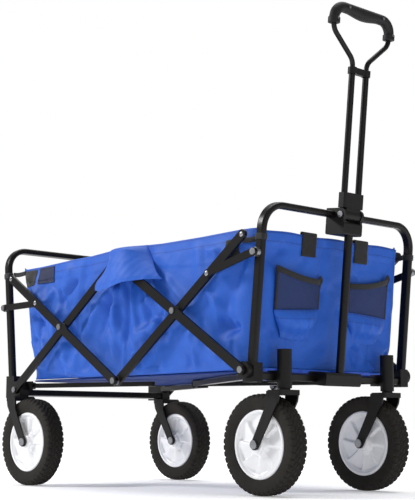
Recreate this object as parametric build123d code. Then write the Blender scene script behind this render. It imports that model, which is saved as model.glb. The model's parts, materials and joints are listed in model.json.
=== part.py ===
"""Folding utility wagon with a telescoping pull handle: one STEP file per named piece.

Row frame: +X forward (the handle end), +Y left, +Z up, origin on the ground under the middle of
the bounding box.  Pieces are drawn from a datum at the front hoop's top tube and moved by ORIGIN_X.
"""
from build123d import *
import os
from math import atan2, cos, degrees, hypot, radians, sin

# ---- overall ------------------------------------------------------------------------------
ORIGIN_X = 396.4        # datum to row origin
GAP = 0.3               # air between faces that move past each other
RUN = 0.06              # radial clearance of a running fit
LEAN = 6.0              # each end frame leans outward at the top, degrees

# ---- end frames (flattened steel tube) -----------------------------------------------------
TUBE_DEEP = 20.0        # tube section fore and aft
TUBE_THIN = 13.0        # tube section in the plane of the hoop
TUBE_ROUND = 5.0
TUBE_WALL = 1.5
HOOP_HALF = 220.0       # leg centre from the mid-plane
HOOP_TOP = 552.0        # top tube centre, frame upright
HOOP_BEND = 48.0
BAR_HIGH = 14.0         # low cross tube, vertical
BAR_ROUND = 2.0
FRONT_LEG_X = -33.0
FRONT_LEG_FOOT = 217.0
FRONT_BAR_Z = 226.0
REAR_LEG_X = -826.5
REAR_LEG_FOOT = 201.0
REAR_HOOP_TOP = 554.6
REAR_BAR_X = -800.0
REAR_BAR_Z = 208.4

# ---- side scissors -------------------------------------------------------------------------
HALF = 230.0            # half length of a bar, pivot to middle pivot
ANGLE_D = 32.5          # open angle of bars A and D, degrees
ANGLE_B = 35.5          # open angle of bars B and C, degrees
PIVOT_D = (-38.0, 236.0)
BAR_W = 19.0
BAR_T = 6.0
IN_Y = 229.0            # inner face of the inner bar layer (B and C)
OUT_Y = 240.0           # inner face of the outer bar layer (A and D)
PIN_R = 4.0
HEAD_R = 6.5
HEAD_T = 2.5
COLLAR_R = 9.0
KNUCKLE_R = 16.0

# ---- stabiliser links ----------------------------------------------------------------------
LINK_Y = 235.6
LINK_T = 3.6
LINK_W = 15.0
FRONT_LINK = ((-9.83, 456.15), (-138.36, 426.36))
REAR_LINK = ((-846.78, 408.11), (-706.90, 409.28))

# ---- floor ---------------------------------------------------------------------------------
FLOOR_PIN_Z = 225.0
FLOOR_FRONT_X = -60.0
FLOOR_REAR_X = -778.0
FLOOR_MID_X = -419.0
FLOOR_EYE_R = 8.0
FLOOR_EYE_Y = (193.5, 203.5)
FLOOR_BAR_W = 16.0
FLOOR_BAR_H = 10.0
FLOOR_BATTEN = 3.5
BOARD_T = 4.0
BOARD_HALF = 203.5
BOARD_EDGE = 12.0       # board starts this far inboard of its hinge line
CENTRE_BOARD = 69.0     # half length of the centre board
HUB_Y = 14.0            # front bars meet the hub here
REAR_TIP_Y = 80.0
REAR_TIP_BACK = 72.0

# ---- wheels --------------------------------------------------------------------------------
WHEEL_R = 97.0
DISC_R = 66.5
TYRE_HALF = 21.0
FRONT_WHEEL_Y = 152.0
REAR_WHEEL_Y = 222.0
STEM_X = -14.0
REAR_FORK_X = -796.0
TRAIL = 55.0
STEM_R = 5.0
STEM_TOP = 268.0
CROWN_TOP = 200.0
CROWN_T = 10.0
ARM_IN = 24.0
ARM_OUT = 28.0
AXLE_R = 5.0
AXLE_HEAD_R = 8.5
AXLE_END = 31.5
HOUSING_R = 14.0
HOUSING_FOOT = 203.0
HOUSING_TOP = 277.0
SECTORS = 8

# ---- post and handle (frame upright) -------------------------------------------------------
HANDLE_X = FRONT_LEG_X + 24.0
POST_R = 8.5
POST_FOOT = 230.0
POST_TOP = 524.0
PIVOT_Z = 552.0
CHEEK = (21.5, 28.0)
YOKE_HALF = 29.0
YOKE_Z = (566.0, 596.0)
YOKE_DEEP = 10.0
TUBE_Y = 21.0
HANDLE_R = 6.4
ROD_R = 5.1
HANDLE_TOP = 841.0
COLLAR_TOP = 848.0
COLLAR_GRIP = 6.0       # collar over the outer tubes
COLLAR_WEB = 5.5
COLLAR_ROUND = 9.0
LOOP_HALF = 84.0
LOOP_LOW = 914.0
LOOP_TOP = 961.0
LOOP_BEND = 26.0
GRIP_R = 11.3
GRIP_LOW = 928.0

# ---- cloth ---------------------------------------------------------------------------------
CLOTH = 1.6
TUB_TOP = 505.0
TUB_FOOT = 240.0
SIDE_Y = 205.0
POCKET_Y = (42.0, 164.0)
POCKET_Z = (300.0, 430.0)
POCKET_DEEP = 13.0
WEB_T = 1.4
STRAP_Y = 78.0
STRAP_W = 38.0


def aim(angle):
    """Unit (x, z) direction at an angle above +X, in degrees."""
    return cos(radians(angle)), sin(radians(angle))


def along(point, angle, distance):
    """Point at a distance from a start along a direction in the XZ plane."""
    dx, dz = aim(angle)
    return point[0] + distance * dx, point[1] + distance * dz


FRONT_X = along(PIVOT_D, 180.0 - ANGLE_D, HALF)
MID_TOP = along(PIVOT_D, 180.0 - ANGLE_D, 2 * HALF)
REAR_X = along(MID_TOP, 180.0 + ANGLE_B, HALF)
PIVOT_B = along(MID_TOP, 180.0 + ANGLE_B, 2 * HALF)
MID_LOW = along(FRONT_X, 180.0 + ANGLE_B, HALF)
TOP_C = along(FRONT_X, ANGLE_B, HALF)
TOP_A = along(REAR_X, 180.0 - ANGLE_D, HALF)


def block(x0, x1, y0, y1, z0, z1):
    """Axis-aligned box from its six limits."""
    size = Box(x1 - x0, y1 - y0, z1 - z0)
    return Pos((x0 + x1) / 2, (y0 + y1) / 2, (z0 + z1) / 2) * size


def y_rod(centre, y0, y1, radius):
    """Cylinder along Y between two y limits, at an (x, z) centre."""
    return Pos(centre[0], (y0 + y1) / 2, centre[1]) * Rot(90, 0, 0) * Cylinder(radius, y1 - y0)


def z_rod(x, y, z0, z1, radius):
    """Vertical cylinder between two heights."""
    return Pos(x, y, (z0 + z1) / 2) * Cylinder(radius, z1 - z0)


def xz_plate(points, y0, y1):
    """Flat plate cut to an (x, z) outline, between two y limits."""
    outline = Polyline(*[(x, y0, z) for x, z in points], close=True)
    return extrude(make_face(outline), amount=y1 - y0, dir=(0, 1, 0))


def flat_bar(start, end, y0, thick, width):
    """Round-ended flat bar between two (x, z) pivots."""
    run, rise = end[0] - start[0], end[1] - start[1]
    turn = atan2(rise, run)
    middle = ((start[0] + end[0]) / 2, y0 + thick / 2, (start[1] + end[1]) / 2)
    plane = Plane(origin=middle, x_dir=(cos(turn), 0, sin(turn)), z_dir=(0, -1, 0))
    return extrude(plane * SlotCenterToCenter(hypot(run, rise), width), amount=thick / 2, both=True)


def lean_about(shape, pivot, angle):
    """Turn a shape about a Y axis through an (x, z) point; positive leans the top forward."""
    there = Pos(pivot[0], 0, pivot[1])
    back = Pos(-pivot[0], 0, -pivot[1])
    return there * Rot(0, angle, 0) * back * shape


def front(shape):
    """Move a piece drawn upright into the leaning front frame."""
    return lean_about(shape, PIVOT_D, LEAN)


def rear(shape):
    """Move a piece drawn upright into the leaning rear frame."""
    return lean_about(shape, PIVOT_B, -LEAN)


def pair(shape):
    """A right-hand and a left-hand copy, as two separate solids."""
    return Compound([*shape.solids(), *mirror(shape, about=Plane.XZ).solids()])


# ---- end frames ----------------------------------------------------------------------------
def hoop(x, foot, top, hollow):
    """Inverted U of flattened tube; solid when it is only a cutter."""
    points = [(x, -HOOP_HALF, foot), (x, -HOOP_HALF, top), (x, HOOP_HALF, top), (x, HOOP_HALF, foot)]
    path = FilletPolyline(*points, radius=HOOP_BEND)
    start = Plane(origin=points[0], x_dir=(1, 0, 0), z_dir=(0, 0, 1))
    section = RectangleRounded(TUBE_DEEP, TUBE_THIN, TUBE_ROUND)
    if hollow:
        bore = RectangleRounded(TUBE_DEEP - 2 * TUBE_WALL, TUBE_THIN - 2 * TUBE_WALL, TUBE_ROUND - TUBE_WALL)
        section = section - bore
    return sweep(start * section, path=path)


def cross_bar(x, z, hollow):
    """Low cross tube between the two legs."""
    reach = HOOP_HALF - TUBE_THIN / 2
    plane = Plane(origin=(x, 0, z), x_dir=(1, 0, 0), z_dir=(0, -1, 0))
    section = RectangleRounded(TUBE_DEEP, BAR_HIGH, BAR_ROUND)
    if hollow:
        section = section - RectangleRounded(TUBE_DEEP - 2 * TUBE_WALL, BAR_HIGH - 2 * TUBE_WALL, BAR_ROUND / 2)
    return extrude(plane * section, amount=reach, both=True)


def front_hoop(hollow=True):
    """Front inverted U."""
    return front(hoop(FRONT_LEG_X, FRONT_LEG_FOOT, HOOP_TOP, hollow))


def front_bar(hollow=True):
    """Front low cross tube."""
    return front(cross_bar(FRONT_LEG_X, FRONT_BAR_Z, hollow))


def rear_hoop(hollow=True):
    """Rear inverted U."""
    return rear(hoop(REAR_LEG_X, REAR_LEG_FOOT, REAR_HOOP_TOP, hollow))


def rear_bar(hollow=True):
    """Rear low cross tube, set ahead of the legs over the wheel forks."""
    return rear(cross_bar(REAR_BAR_X, REAR_BAR_Z, hollow))


def floor_lug(pin_x, inner_x):
    """Plate and stub pin that the floor bars hinge on, right side."""
    low, high = min(pin_x - 10.0, inner_x), max(pin_x + 10.0, inner_x)
    plate = block(low, high, -209.0, -204.5, FLOOR_PIN_Z - 10.0, FLOOR_PIN_Z + 10.0)
    return plate + y_rod((pin_x, FLOOR_PIN_Z), -205.0, -FLOOR_EYE_Y[0] + 1.0, PIN_R)


def front_corner_blocks():
    """Moulded feet: socket for leg and cross tube, outboard boss for bar D, inboard floor stub."""
    sleeve = block(-49.0, -20.0, -228.5, -204.5, 213.5, 250.0)
    boss = y_rod(PIVOT_D, -(OUT_Y - GAP), -226.0, KNUCKLE_R)
    lug = floor_lug(FLOOR_FRONT_X, -45.0)
    foot = sleeve + boss + lug - front_hoop(False) - front_bar(False)
    return pair(foot - y_rod(PIVOT_D, -OUT_Y, -226.5, PIN_R))


def rear_corner_blocks():
    """Moulded feet of the rear frame: leg socket, cross tube socket and floor stub."""
    leg_socket = block(-843.0, -812.0, -228.5, -204.5, 198.0, 248.0)
    bar_socket = block(-813.0, -786.0, -228.5, -204.5, CROWN_TOP, 235.0)
    lug = floor_lug(FLOOR_REAR_X, -790.0)
    foot = leg_socket + bar_socket + lug - rear_hoop(False) - rear_bar(False)
    return pair(foot - y_rod(PIVOT_B, -230.0, -226.5, PIN_R))


# ---- rivets --------------------------------------------------------------------------------
def rivet(centre, y_in, y_out, collar):
    """Rivet along Y on the right side, head outboard; collar gives a spacer's (inner, outer) y."""
    shape = y_rod(centre, -y_out, -y_in, PIN_R) + y_rod(centre, -y_out - HEAD_T, -y_out, HEAD_R)
    if collar:
        shape += y_rod(centre, -collar[1], -collar[0], COLLAR_R)
    return shape


def front_rivets():
    """Front frame rivets: bar D pivots and link pivots."""
    leg_face = HOOP_HALF + TUBE_THIN / 2
    d_pin = rivet(PIVOT_D, leg_face, OUT_Y + BAR_T + GAP, None)
    link_pin = rivet(FRONT_LINK[0], leg_face, LINK_Y + LINK_T + GAP, (leg_face, LINK_Y - GAP))
    return Compound([*pair(d_pin).solids(), *pair(link_pin).solids()])


def rear_rivets():
    """Rear frame rivets: bar B pivots and link pivots."""
    leg_face = HOOP_HALF + TUBE_THIN / 2
    b_pin = rivet(PIVOT_B, leg_face, IN_Y + BAR_T + GAP, None)
    link_pin = rivet(REAR_LINK[0], leg_face, LINK_Y + LINK_T + GAP, (leg_face, LINK_Y - GAP))
    return Compound([*pair(b_pin).solids(), *pair(link_pin).solids()])


def layer_rivet(centre):
    """Rivet on an outer bar that carries an inner bar, with a spacer collar and an inner head."""
    inner_head = y_rod(centre, -IN_Y + GAP, -IN_Y + GAP + 1.5, HEAD_R)
    return rivet(centre, IN_Y - GAP, OUT_Y + BAR_T, (IN_Y + BAR_T + GAP, OUT_Y)) + inner_head


def outer_rivets(first, second):
    """The two layer rivets of an outer bar, both sides."""
    return Compound([*pair(layer_rivet(first)).solids(), *pair(layer_rivet(second)).solids()])


# ---- bars and links ------------------------------------------------------------------------
def drill(shape, centres, radius):
    """Cut Y holes through a right-side bar at (x, z) centres."""
    for centre in centres:
        shape -= y_rod(centre, -260.0, -200.0, radius)
    return shape


def bar_a():
    """Outer bar, rear top to middle low, right side."""
    blank = flat_bar(TOP_A, MID_LOW, -OUT_Y - BAR_T, BAR_T, BAR_W)
    return drill(blank, [REAR_X, MID_LOW], PIN_R)


def bar_b():
    """Inner bar, rear low to middle top, right side."""
    blank = flat_bar(PIVOT_B, MID_TOP, -IN_Y - BAR_T, BAR_T, BAR_W)
    return drill(blank, [PIVOT_B, REAR_X, MID_TOP], PIN_R + RUN)


def bar_c():
    """Inner bar, middle low to front top, right side."""
    blank = flat_bar(MID_LOW, TOP_C, -IN_Y - BAR_T, BAR_T, BAR_W)
    slack = drill(blank, [MID_LOW], PIN_R + GAP)
    return drill(slack, [FRONT_X], PIN_R + RUN)


def bar_d():
    """Outer bar, middle top to front low, right side."""
    blank = flat_bar(MID_TOP, PIVOT_D, -OUT_Y - BAR_T, BAR_T, BAR_W)
    fixed = drill(blank, [FRONT_X, MID_TOP], PIN_R)
    return drill(fixed, [PIVOT_D], PIN_R + RUN)


def link(ends):
    """Stabiliser link on its leg rivet, with a rivet button at the bar end; both sides."""
    blank = flat_bar(ends[0], ends[1], -LINK_Y - LINK_T, LINK_T, LINK_W)
    return pair(drill(blank, [ends[0]], PIN_R + RUN))


# ---- floor ---------------------------------------------------------------------------------
def floor_bar(pin_x, tip_y, tip_x):
    """Right floor bar: an eye on the corner stub and a flat run towards the hub."""
    eye = y_rod((pin_x, FLOOR_PIN_Z), -FLOOR_EYE_Y[1], -FLOOR_EYE_Y[0], FLOOR_EYE_R)
    side = 1.0 if tip_x > pin_x else -1.0
    start = (pin_x + side * 8.0, -194.0)
    run, rise = tip_x - start[0], -tip_y - start[1]
    plane = Plane(origin=((start[0] + tip_x) / 2, (start[1] - tip_y) / 2, FLOOR_PIN_Z),
                  x_dir=(run, rise, 0), z_dir=(0, 0, 1))
    strip = plane * Rectangle(hypot(run, rise), FLOOR_BAR_W)
    bar = extrude(strip, amount=FLOOR_BAR_H / 2, both=True)
    shape = eye + bar
    return shape - y_rod((pin_x, FLOOR_PIN_Z), -210.0, -185.0, PIN_R + RUN)


def floor_bars_front():
    """Front pair of floor bars, with eyes on the hub pin."""
    hub_pin = (FLOOR_MID_X, FLOOR_PIN_Z)
    eye = y_rod(hub_pin, -HUB_Y - 4.5, -HUB_Y + 4.5, FLOOR_EYE_R)
    bar = floor_bar(FLOOR_FRONT_X, HUB_Y + 4.0, FLOOR_MID_X + 7.0) + eye
    return pair(bar - y_rod(hub_pin, -40.0, 0.0, PIN_R + RUN))


def floor_bars_rear():
    """Rear pair of floor bars, with round tips under the centre board."""
    tip_x = FLOOR_MID_X - REAR_TIP_BACK
    bar = floor_bar(FLOOR_REAR_X, REAR_TIP_Y, tip_x)
    tip_z = FLOOR_PIN_Z - FLOOR_BAR_H / 2
    tip = z_rod(tip_x, -REAR_TIP_Y, tip_z, tip_z + FLOOR_BAR_H, FLOOR_BAR_W / 2)
    return pair(bar + tip)


def floor_hub():
    """Centre hub: a block with the hinge pin of the front floor bars."""
    top = FLOOR_PIN_Z + FLOOR_BAR_H / 2 + FLOOR_BATTEN
    body = block(FLOOR_MID_X - 15.0, FLOOR_MID_X + 15.0, -9.0, 9.0, FLOOR_PIN_Z - 9.0, top)
    return body + y_rod((FLOOR_MID_X, FLOOR_PIN_Z), -20.5, 20.5, PIN_R)


def board(x0, x1, battens):
    """Floor board with cross battens under it."""
    low = FLOOR_PIN_Z + FLOOR_BAR_H / 2
    under = low + FLOOR_BATTEN
    shape = block(x0, x1, -BOARD_HALF, BOARD_HALF, under, under + BOARD_T)
    for x in battens:
        shape += block(x - 8.0, x + 8.0, -180.0, 180.0, low, under)
    return shape


# ---- wheels --------------------------------------------------------------------------------
def tyre():
    """Tyre ring about the Y axis, centred on the origin."""
    side = [(DISC_R, -15.0), (72.0, -18.5), (84.0, -TYRE_HALF), (91.5, -19.5), (95.5, -15.0), (WHEEL_R, -8.0)]
    other = [(r, -y) for r, y in reversed(side)]
    return revolve(make_face(Polyline(*side, *other, close=True)), axis=Axis.Y)


def wheel_disc():
    """Moulded disc and hub with shallow fan-like dishes on both faces."""
    side = [(AXLE_R + RUN, -21.5), (15.0, -21.5), (18.0, -12.0), (57.0, -12.0), (60.0, -15.0), (DISC_R, -15.0)]
    other = [(r, -y) for r, y in reversed(side)]
    shape = revolve(make_face(Polyline(*side, *other, close=True)), axis=Axis.Y)
    dish = extrude(Plane.XZ * (Pos(38.0, 0) * RectangleRounded(26.0, 17.0, 5.0)), amount=3.0)
    for index in range(SECTORS):
        turn = Rot(0, index * 360.0 / SECTORS, 0)
        shape -= turn * Pos(0, -10.0, 0) * dish
        shape -= turn * Pos(0, 13.0, 0) * dish
    return shape


def fork():
    """Wheel fork about its stem axis, trailing towards -X: crown, two arms and axle holes."""
    crown = block(-22.0, 16.0, -ARM_OUT, ARM_OUT, CROWN_TOP - CROWN_T, CROWN_TOP)
    crown = fillet(crown.edges().filter_by(Axis.Z), radius=6.0)
    outline = [(-22.0, CROWN_TOP - 2.0), (12.0, CROWN_TOP - 2.0), (8.0, 178.0), (-46.0, 92.0),
               (-TRAIL, 87.0), (-65.0, 97.0), (-24.0, 172.0)]
    arm = xz_plate(outline, -ARM_OUT, -ARM_IN) + y_rod((-TRAIL, WHEEL_R), -ARM_OUT, -ARM_IN, 10.5)
    arms = arm + mirror(arm, about=Plane.XZ)
    return crown + arms - y_rod((-TRAIL, WHEEL_R), -40.0, 40.0, AXLE_R)


def caster_fork(side):
    """Front swivel fork with its stem and thrust washer."""
    washer = z_rod(0, 0, CROWN_TOP, HOUSING_FOOT - GAP, 11.0)
    stem = z_rod(0, 0, CROWN_TOP, STEM_TOP, STEM_R)
    return Pos(STEM_X, side * FRONT_WHEEL_Y, 0) * (fork() + washer + stem)


def rear_forks():
    """Fixed rear forks under the rear cross tube, both sides."""
    turned = Rot(0, 0, 180) * fork()
    return pair(Pos(REAR_FORK_X, -REAR_WHEEL_Y, 0) * turned)


def axle(centre):
    """Axle bolt with a head at each end."""
    x, y = centre
    shank = y_rod((x, WHEEL_R), y - AXLE_END, y + AXLE_END, AXLE_R)
    near = y_rod((x, WHEEL_R), y - AXLE_END, y - ARM_OUT, AXLE_HEAD_R)
    far = y_rod((x, WHEEL_R), y + ARM_OUT, y + AXLE_END, AXLE_HEAD_R)
    return shank + near + far


def caster_housings():
    """Tall caster housings clamped on the front cross tube, with the stem bores."""
    y = -FRONT_WHEEL_Y
    column = z_rod(STEM_X, y, HOUSING_FOOT, HOUSING_TOP, HOUSING_R)
    clamp = block(-48.0, STEM_X, y - 13.0, y + 13.0, 214.0, 237.0)
    bore = z_rod(STEM_X, y, HOUSING_FOOT - 1.0, STEM_TOP + 2.0, STEM_R + RUN)
    return pair(column + clamp - front_bar(False) - bore)


# ---- post and handle -----------------------------------------------------------------------
def front_post():
    """Central post from the foot bracket to the handle bracket."""
    tube = z_rod(HANDLE_X, 0, POST_FOOT, POST_TOP, POST_R)
    bore = z_rod(HANDLE_X, 0, POST_FOOT - 1.0, POST_TOP + 1.0, POST_R - TUBE_WALL)
    return front(tube - bore)


def post_foot():
    """Moulded foot that ties the post to the low cross tube."""
    x = FRONT_LEG_X
    body = block(x - 13.0, x + 36.0, -52.0, 52.0, 213.0, 239.0)
    body = fillet(body.edges().filter_by(Axis.Y), radius=5.0)
    post = z_rod(HANDLE_X, 0, POST_FOOT, POST_TOP, POST_R)
    return front(body - cross_bar(x, FRONT_BAR_Z, False) - post)


def handle_bracket():
    """Bracket round the top tube: post socket below, two cheeks for the handle pivot above."""
    x = FRONT_LEG_X
    pivot = (HANDLE_X, PIVOT_Z)
    base = block(x - 14.0, x + 34.0, -CHEEK[1], CHEEK[1], 512.0, 537.0)
    base = fillet(base.edges().filter_by(Axis.Y), radius=4.0)
    back = block(x - 14.0, HANDLE_X, -CHEEK[1], -CHEEK[0], 535.0, 565.0)
    cheek = back + y_rod(pivot, -CHEEK[1], -CHEEK[0], 13.0)
    cheek += block(HANDLE_X - 1.0, HANDLE_X + 9.0, -CHEEK[1], -CHEEK[0], 535.0, PIVOT_Z)
    body = base + cheek + mirror(cheek, about=Plane.XZ)
    post = z_rod(HANDLE_X, 0, POST_FOOT, POST_TOP, POST_R)
    body -= hoop(x, FRONT_LEG_FOOT, HOOP_TOP, False)
    return front(body - post - y_rod(pivot, -40.0, 40.0, PIN_R))


def handle_pin():
    """Pivot pin of the handle, with a head at each end."""
    pivot = (HANDLE_X, PIVOT_Z)
    shank = y_rod(pivot, -CHEEK[1], CHEEK[1], PIN_R)
    head = y_rod(pivot, -CHEEK[1] - HEAD_T, -CHEEK[1], HEAD_R)
    return front(shank + head + mirror(head, about=Plane.XZ))


def handle_yoke():
    """Turning yoke: hub on the pivot pin and a block that holds the two handle tubes."""
    pivot = (HANDLE_X, PIVOT_Z)
    hub = y_rod(pivot, -CHEEK[0] + 0.5, CHEEK[0] - 0.5, 11.0)
    neck = block(HANDLE_X - 9.0, HANDLE_X + 9.0, -CHEEK[0] + 0.5, CHEEK[0] - 0.5, PIVOT_Z, YOKE_Z[0] + 1.0)
    head = block(HANDLE_X - YOKE_DEEP, HANDLE_X + YOKE_DEEP, -YOKE_HALF, YOKE_HALF, *YOKE_Z)
    head = fillet(head.edges().filter_by(Axis.Z), radius=5.0)
    body = hub + neck + head - y_rod(pivot, -40.0, 40.0, PIN_R + RUN)
    for y in (-TUBE_Y, TUBE_Y):
        body -= z_rod(HANDLE_X, y, YOKE_Z[0] + 4.0, YOKE_Z[1] + 1.0, HANDLE_R)
    return front(body)


def handle_tubes():
    """The two outer handle tubes."""
    tube = z_rod(HANDLE_X, -TUBE_Y, YOKE_Z[0] + 4.0, HANDLE_TOP, HANDLE_R)
    bore = z_rod(HANDLE_X, -TUBE_Y, YOKE_Z[0] + 3.0, HANDLE_TOP + 1.0, ROD_R + RUN)
    return front(pair(tube - bore))


def handle_collar():
    """Collar that ties the outer tubes' tops and guides the loop's legs."""
    low = HANDLE_TOP - COLLAR_GRIP
    body = block(HANDLE_X - COLLAR_WEB, HANDLE_X + COLLAR_WEB, -TUBE_Y, TUBE_Y, low, COLLAR_TOP)
    for y in (-TUBE_Y, TUBE_Y):
        body += z_rod(HANDLE_X, y, low, COLLAR_TOP, COLLAR_ROUND)
    for y in (-TUBE_Y, TUBE_Y):
        body -= z_rod(HANDLE_X, y, low - 1.0, HANDLE_TOP, HANDLE_R)
        body -= z_rod(HANDLE_X, y, HANDLE_TOP - 1.0, COLLAR_TOP + 1.0, ROD_R + RUN)
    return front(body)


def loop_path(low):
    """Half-round D path of the handle loop, from a low height on one side to the other."""
    if low < LOOP_LOW:
        half = [(TUBE_Y, low), (TUBE_Y, COLLAR_TOP + 14.0), (LOOP_HALF, LOOP_LOW), (LOOP_HALF, LOOP_TOP)]
    else:
        half = [(LOOP_HALF, low), (LOOP_HALF, LOOP_TOP)]
    points = [(HANDLE_X, -y, z) for y, z in half] + [(HANDLE_X, y, z) for y, z in reversed(half)]
    return points[0], FilletPolyline(*points, radius=LOOP_BEND)


def swept_round(low, radius):
    """Round section swept along the loop path."""
    start, path = loop_path(low)
    plane = Plane(origin=start, x_dir=(1, 0, 0), z_dir=(0, 0, 1))
    return sweep(plane * Circle(radius), path=path)


def loop_rod():
    """Inner telescoping rod, bent into the D loop."""
    return swept_round(YOKE_Z[1], ROD_R)


def screw_spots():
    """Screw positions (y, z) on the front of the grip."""
    return [(-52.0, LOOP_TOP), (52.0, LOOP_TOP), (-LOOP_HALF, LOOP_LOW + 20.0), (LOOP_HALF, LOOP_LOW + 20.0)]


def screw(y, z):
    """Small pan-head screw along X."""
    x = HANDLE_X + GRIP_R - 2.5
    return Pos(x + 1.5, y, z) * Rot(0, 90, 0) * Cylinder(2.8, 4.0)


def handle_grip():
    """Grip moulding round the loop, with a palm swell in the middle."""
    body = swept_round(GRIP_LOW, GRIP_R)
    plane = Plane(origin=(HANDLE_X, 0, LOOP_TOP - 6.0), x_dir=(0, 1, 0), z_dir=(1, 0, 0))
    body += extrude(plane * Ellipse(48.0, 17.0), amount=GRIP_R - 1.0, both=True)
    for y in (-LOOP_HALF, LOOP_HALF):
        body += z_rod(HANDLE_X, y, GRIP_LOW - 7.0, GRIP_LOW + 4.0, GRIP_R + 1.5)
    body -= loop_rod()
    for spot in screw_spots():
        body -= screw(*spot)
    return front(body)


def handle_screws():
    """The grip's screws."""
    return front(Compound([solid for spot in screw_spots() for solid in screw(*spot).solids()]))


# ---- cloth ---------------------------------------------------------------------------------
def tub_front():
    """Front cloth panel behind the front legs."""
    back = FRONT_LEG_X - TUBE_DEEP / 2 - 1.0 - CLOTH
    return front(block(back, back + CLOTH, -BOARD_HALF, BOARD_HALF, TUB_FOOT, TUB_TOP))


def tub_rear():
    """Rear cloth panel, standing ahead of the rear legs."""
    x = -795.5
    return rear(block(x - CLOTH, x, -BOARD_HALF, BOARD_HALF, TUB_FOOT, TUB_TOP))


def tub_side():
    """Right side cloth panel."""
    outline = [(-49.5, 252.0), (-49.5, 239.0), (-797.0, 239.0), (-824.0, TUB_TOP), (-22.0, TUB_TOP)]
    return xz_plate(outline, -SIDE_Y - CLOTH, -SIDE_Y)


def joint_cover():
    """Cloth cuff over the middle top joint, right side: an outer flap hung from a top strip."""
    flap = [(-478.0, TUB_TOP), (-380.0, TUB_TOP), (-286.0, 432.0), (-388.0, 424.0), (-484.0, 418.0)]
    sheet = xz_plate(flap, -251.6, -250.4)
    return sheet + block(-478.0, -380.0, -251.6, -SIDE_Y - CLOTH, TUB_TOP - 1.2, TUB_TOP)


def pocket():
    """Right front pocket: a shallow open-topped pouch on the front panel."""
    back = FRONT_LEG_X - TUBE_DEEP / 2 - 1.0
    y0, y1 = -POCKET_Y[1], -POCKET_Y[0]
    outer = block(back, back + POCKET_DEEP, y0, y1, *POCKET_Z)
    inner = block(back + WEB_T, back + POCKET_DEEP - WEB_T, y0 + WEB_T, y1 - WEB_T,
                  POCKET_Z[0] + WEB_T, POCKET_Z[1] + 1.0)
    return front(outer - inner)


def front_strap():
    """Right webbing strap folded over the front panel's top edge."""
    back = FRONT_LEG_X - TUBE_DEEP / 2 - 1.0
    y0, y1 = -STRAP_Y - STRAP_W / 2, -STRAP_Y + STRAP_W / 2
    face = block(back, back + WEB_T, y0, y1, 450.0, TUB_TOP + WEB_T)
    top = block(back - CLOTH - WEB_T, back + WEB_T, y0, y1, TUB_TOP, TUB_TOP + WEB_T)
    tail = block(back - CLOTH - WEB_T, back - CLOTH, y0, y1, 470.0, TUB_TOP + WEB_T)
    return front(face + top + tail)


def leg_loop(leg_x, z0, z1):
    """Webbing loop round a right leg, drawn upright."""
    outer = block(leg_x - 11.5, leg_x + 11.5, -228.3, -212.0, z0, z1)
    inner = block(leg_x - 10.0, leg_x + 10.0, -226.8, -213.4, z0 - 1.0, z1 + 1.0)
    return outer - inner


def corner_strap(patch, strap):
    """Webbing patch sewn to the side panel with a strap towards the leg."""
    y0, y1 = -SIDE_Y - CLOTH - WEB_T, -SIDE_Y - CLOTH
    cloth = block(patch[0], patch[1], y0, y1, patch[2], patch[3])
    return cloth + block(strap[0], strap[1], y0, y1, strap[2], strap[3])


def corner_straps_front():
    """Front corner webbing, both sides."""
    loop = front(leg_loop(FRONT_LEG_X, 482.0, 494.0))
    tab = block(-17.0, -14.0, -212.6, -SIDE_Y - CLOTH - WEB_T, 482.0, 490.0)
    web = corner_strap((-112.0, -70.0, 452.0, 491.0), (-71.0, -14.0, 481.0, 491.0))
    return pair(web + tab + loop)


def corner_straps_rear():
    """Rear corner webbing, both sides."""
    loop = rear(leg_loop(REAR_LEG_X, 484.0, 496.0))
    tab = block(-845.5, -842.5, -212.6, -SIDE_Y - CLOTH - WEB_T, 485.0, 493.0)
    web = corner_strap((-801.0, -751.0, 455.0, 493.0), (-845.5, -800.0, 484.0, 494.0))
    return pair(web + tab + loop)


def label_patch():
    """Plain woven label near the rear top corner of the right side."""
    y = -SIDE_Y - CLOTH
    return block(-740.0, -681.0, y - 0.8, y, 458.0, 496.0)


def wheel_at(shape, x, y):
    """Place a wheel part on its axle."""
    return Pos(x, y, WHEEL_R) * shape


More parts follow.
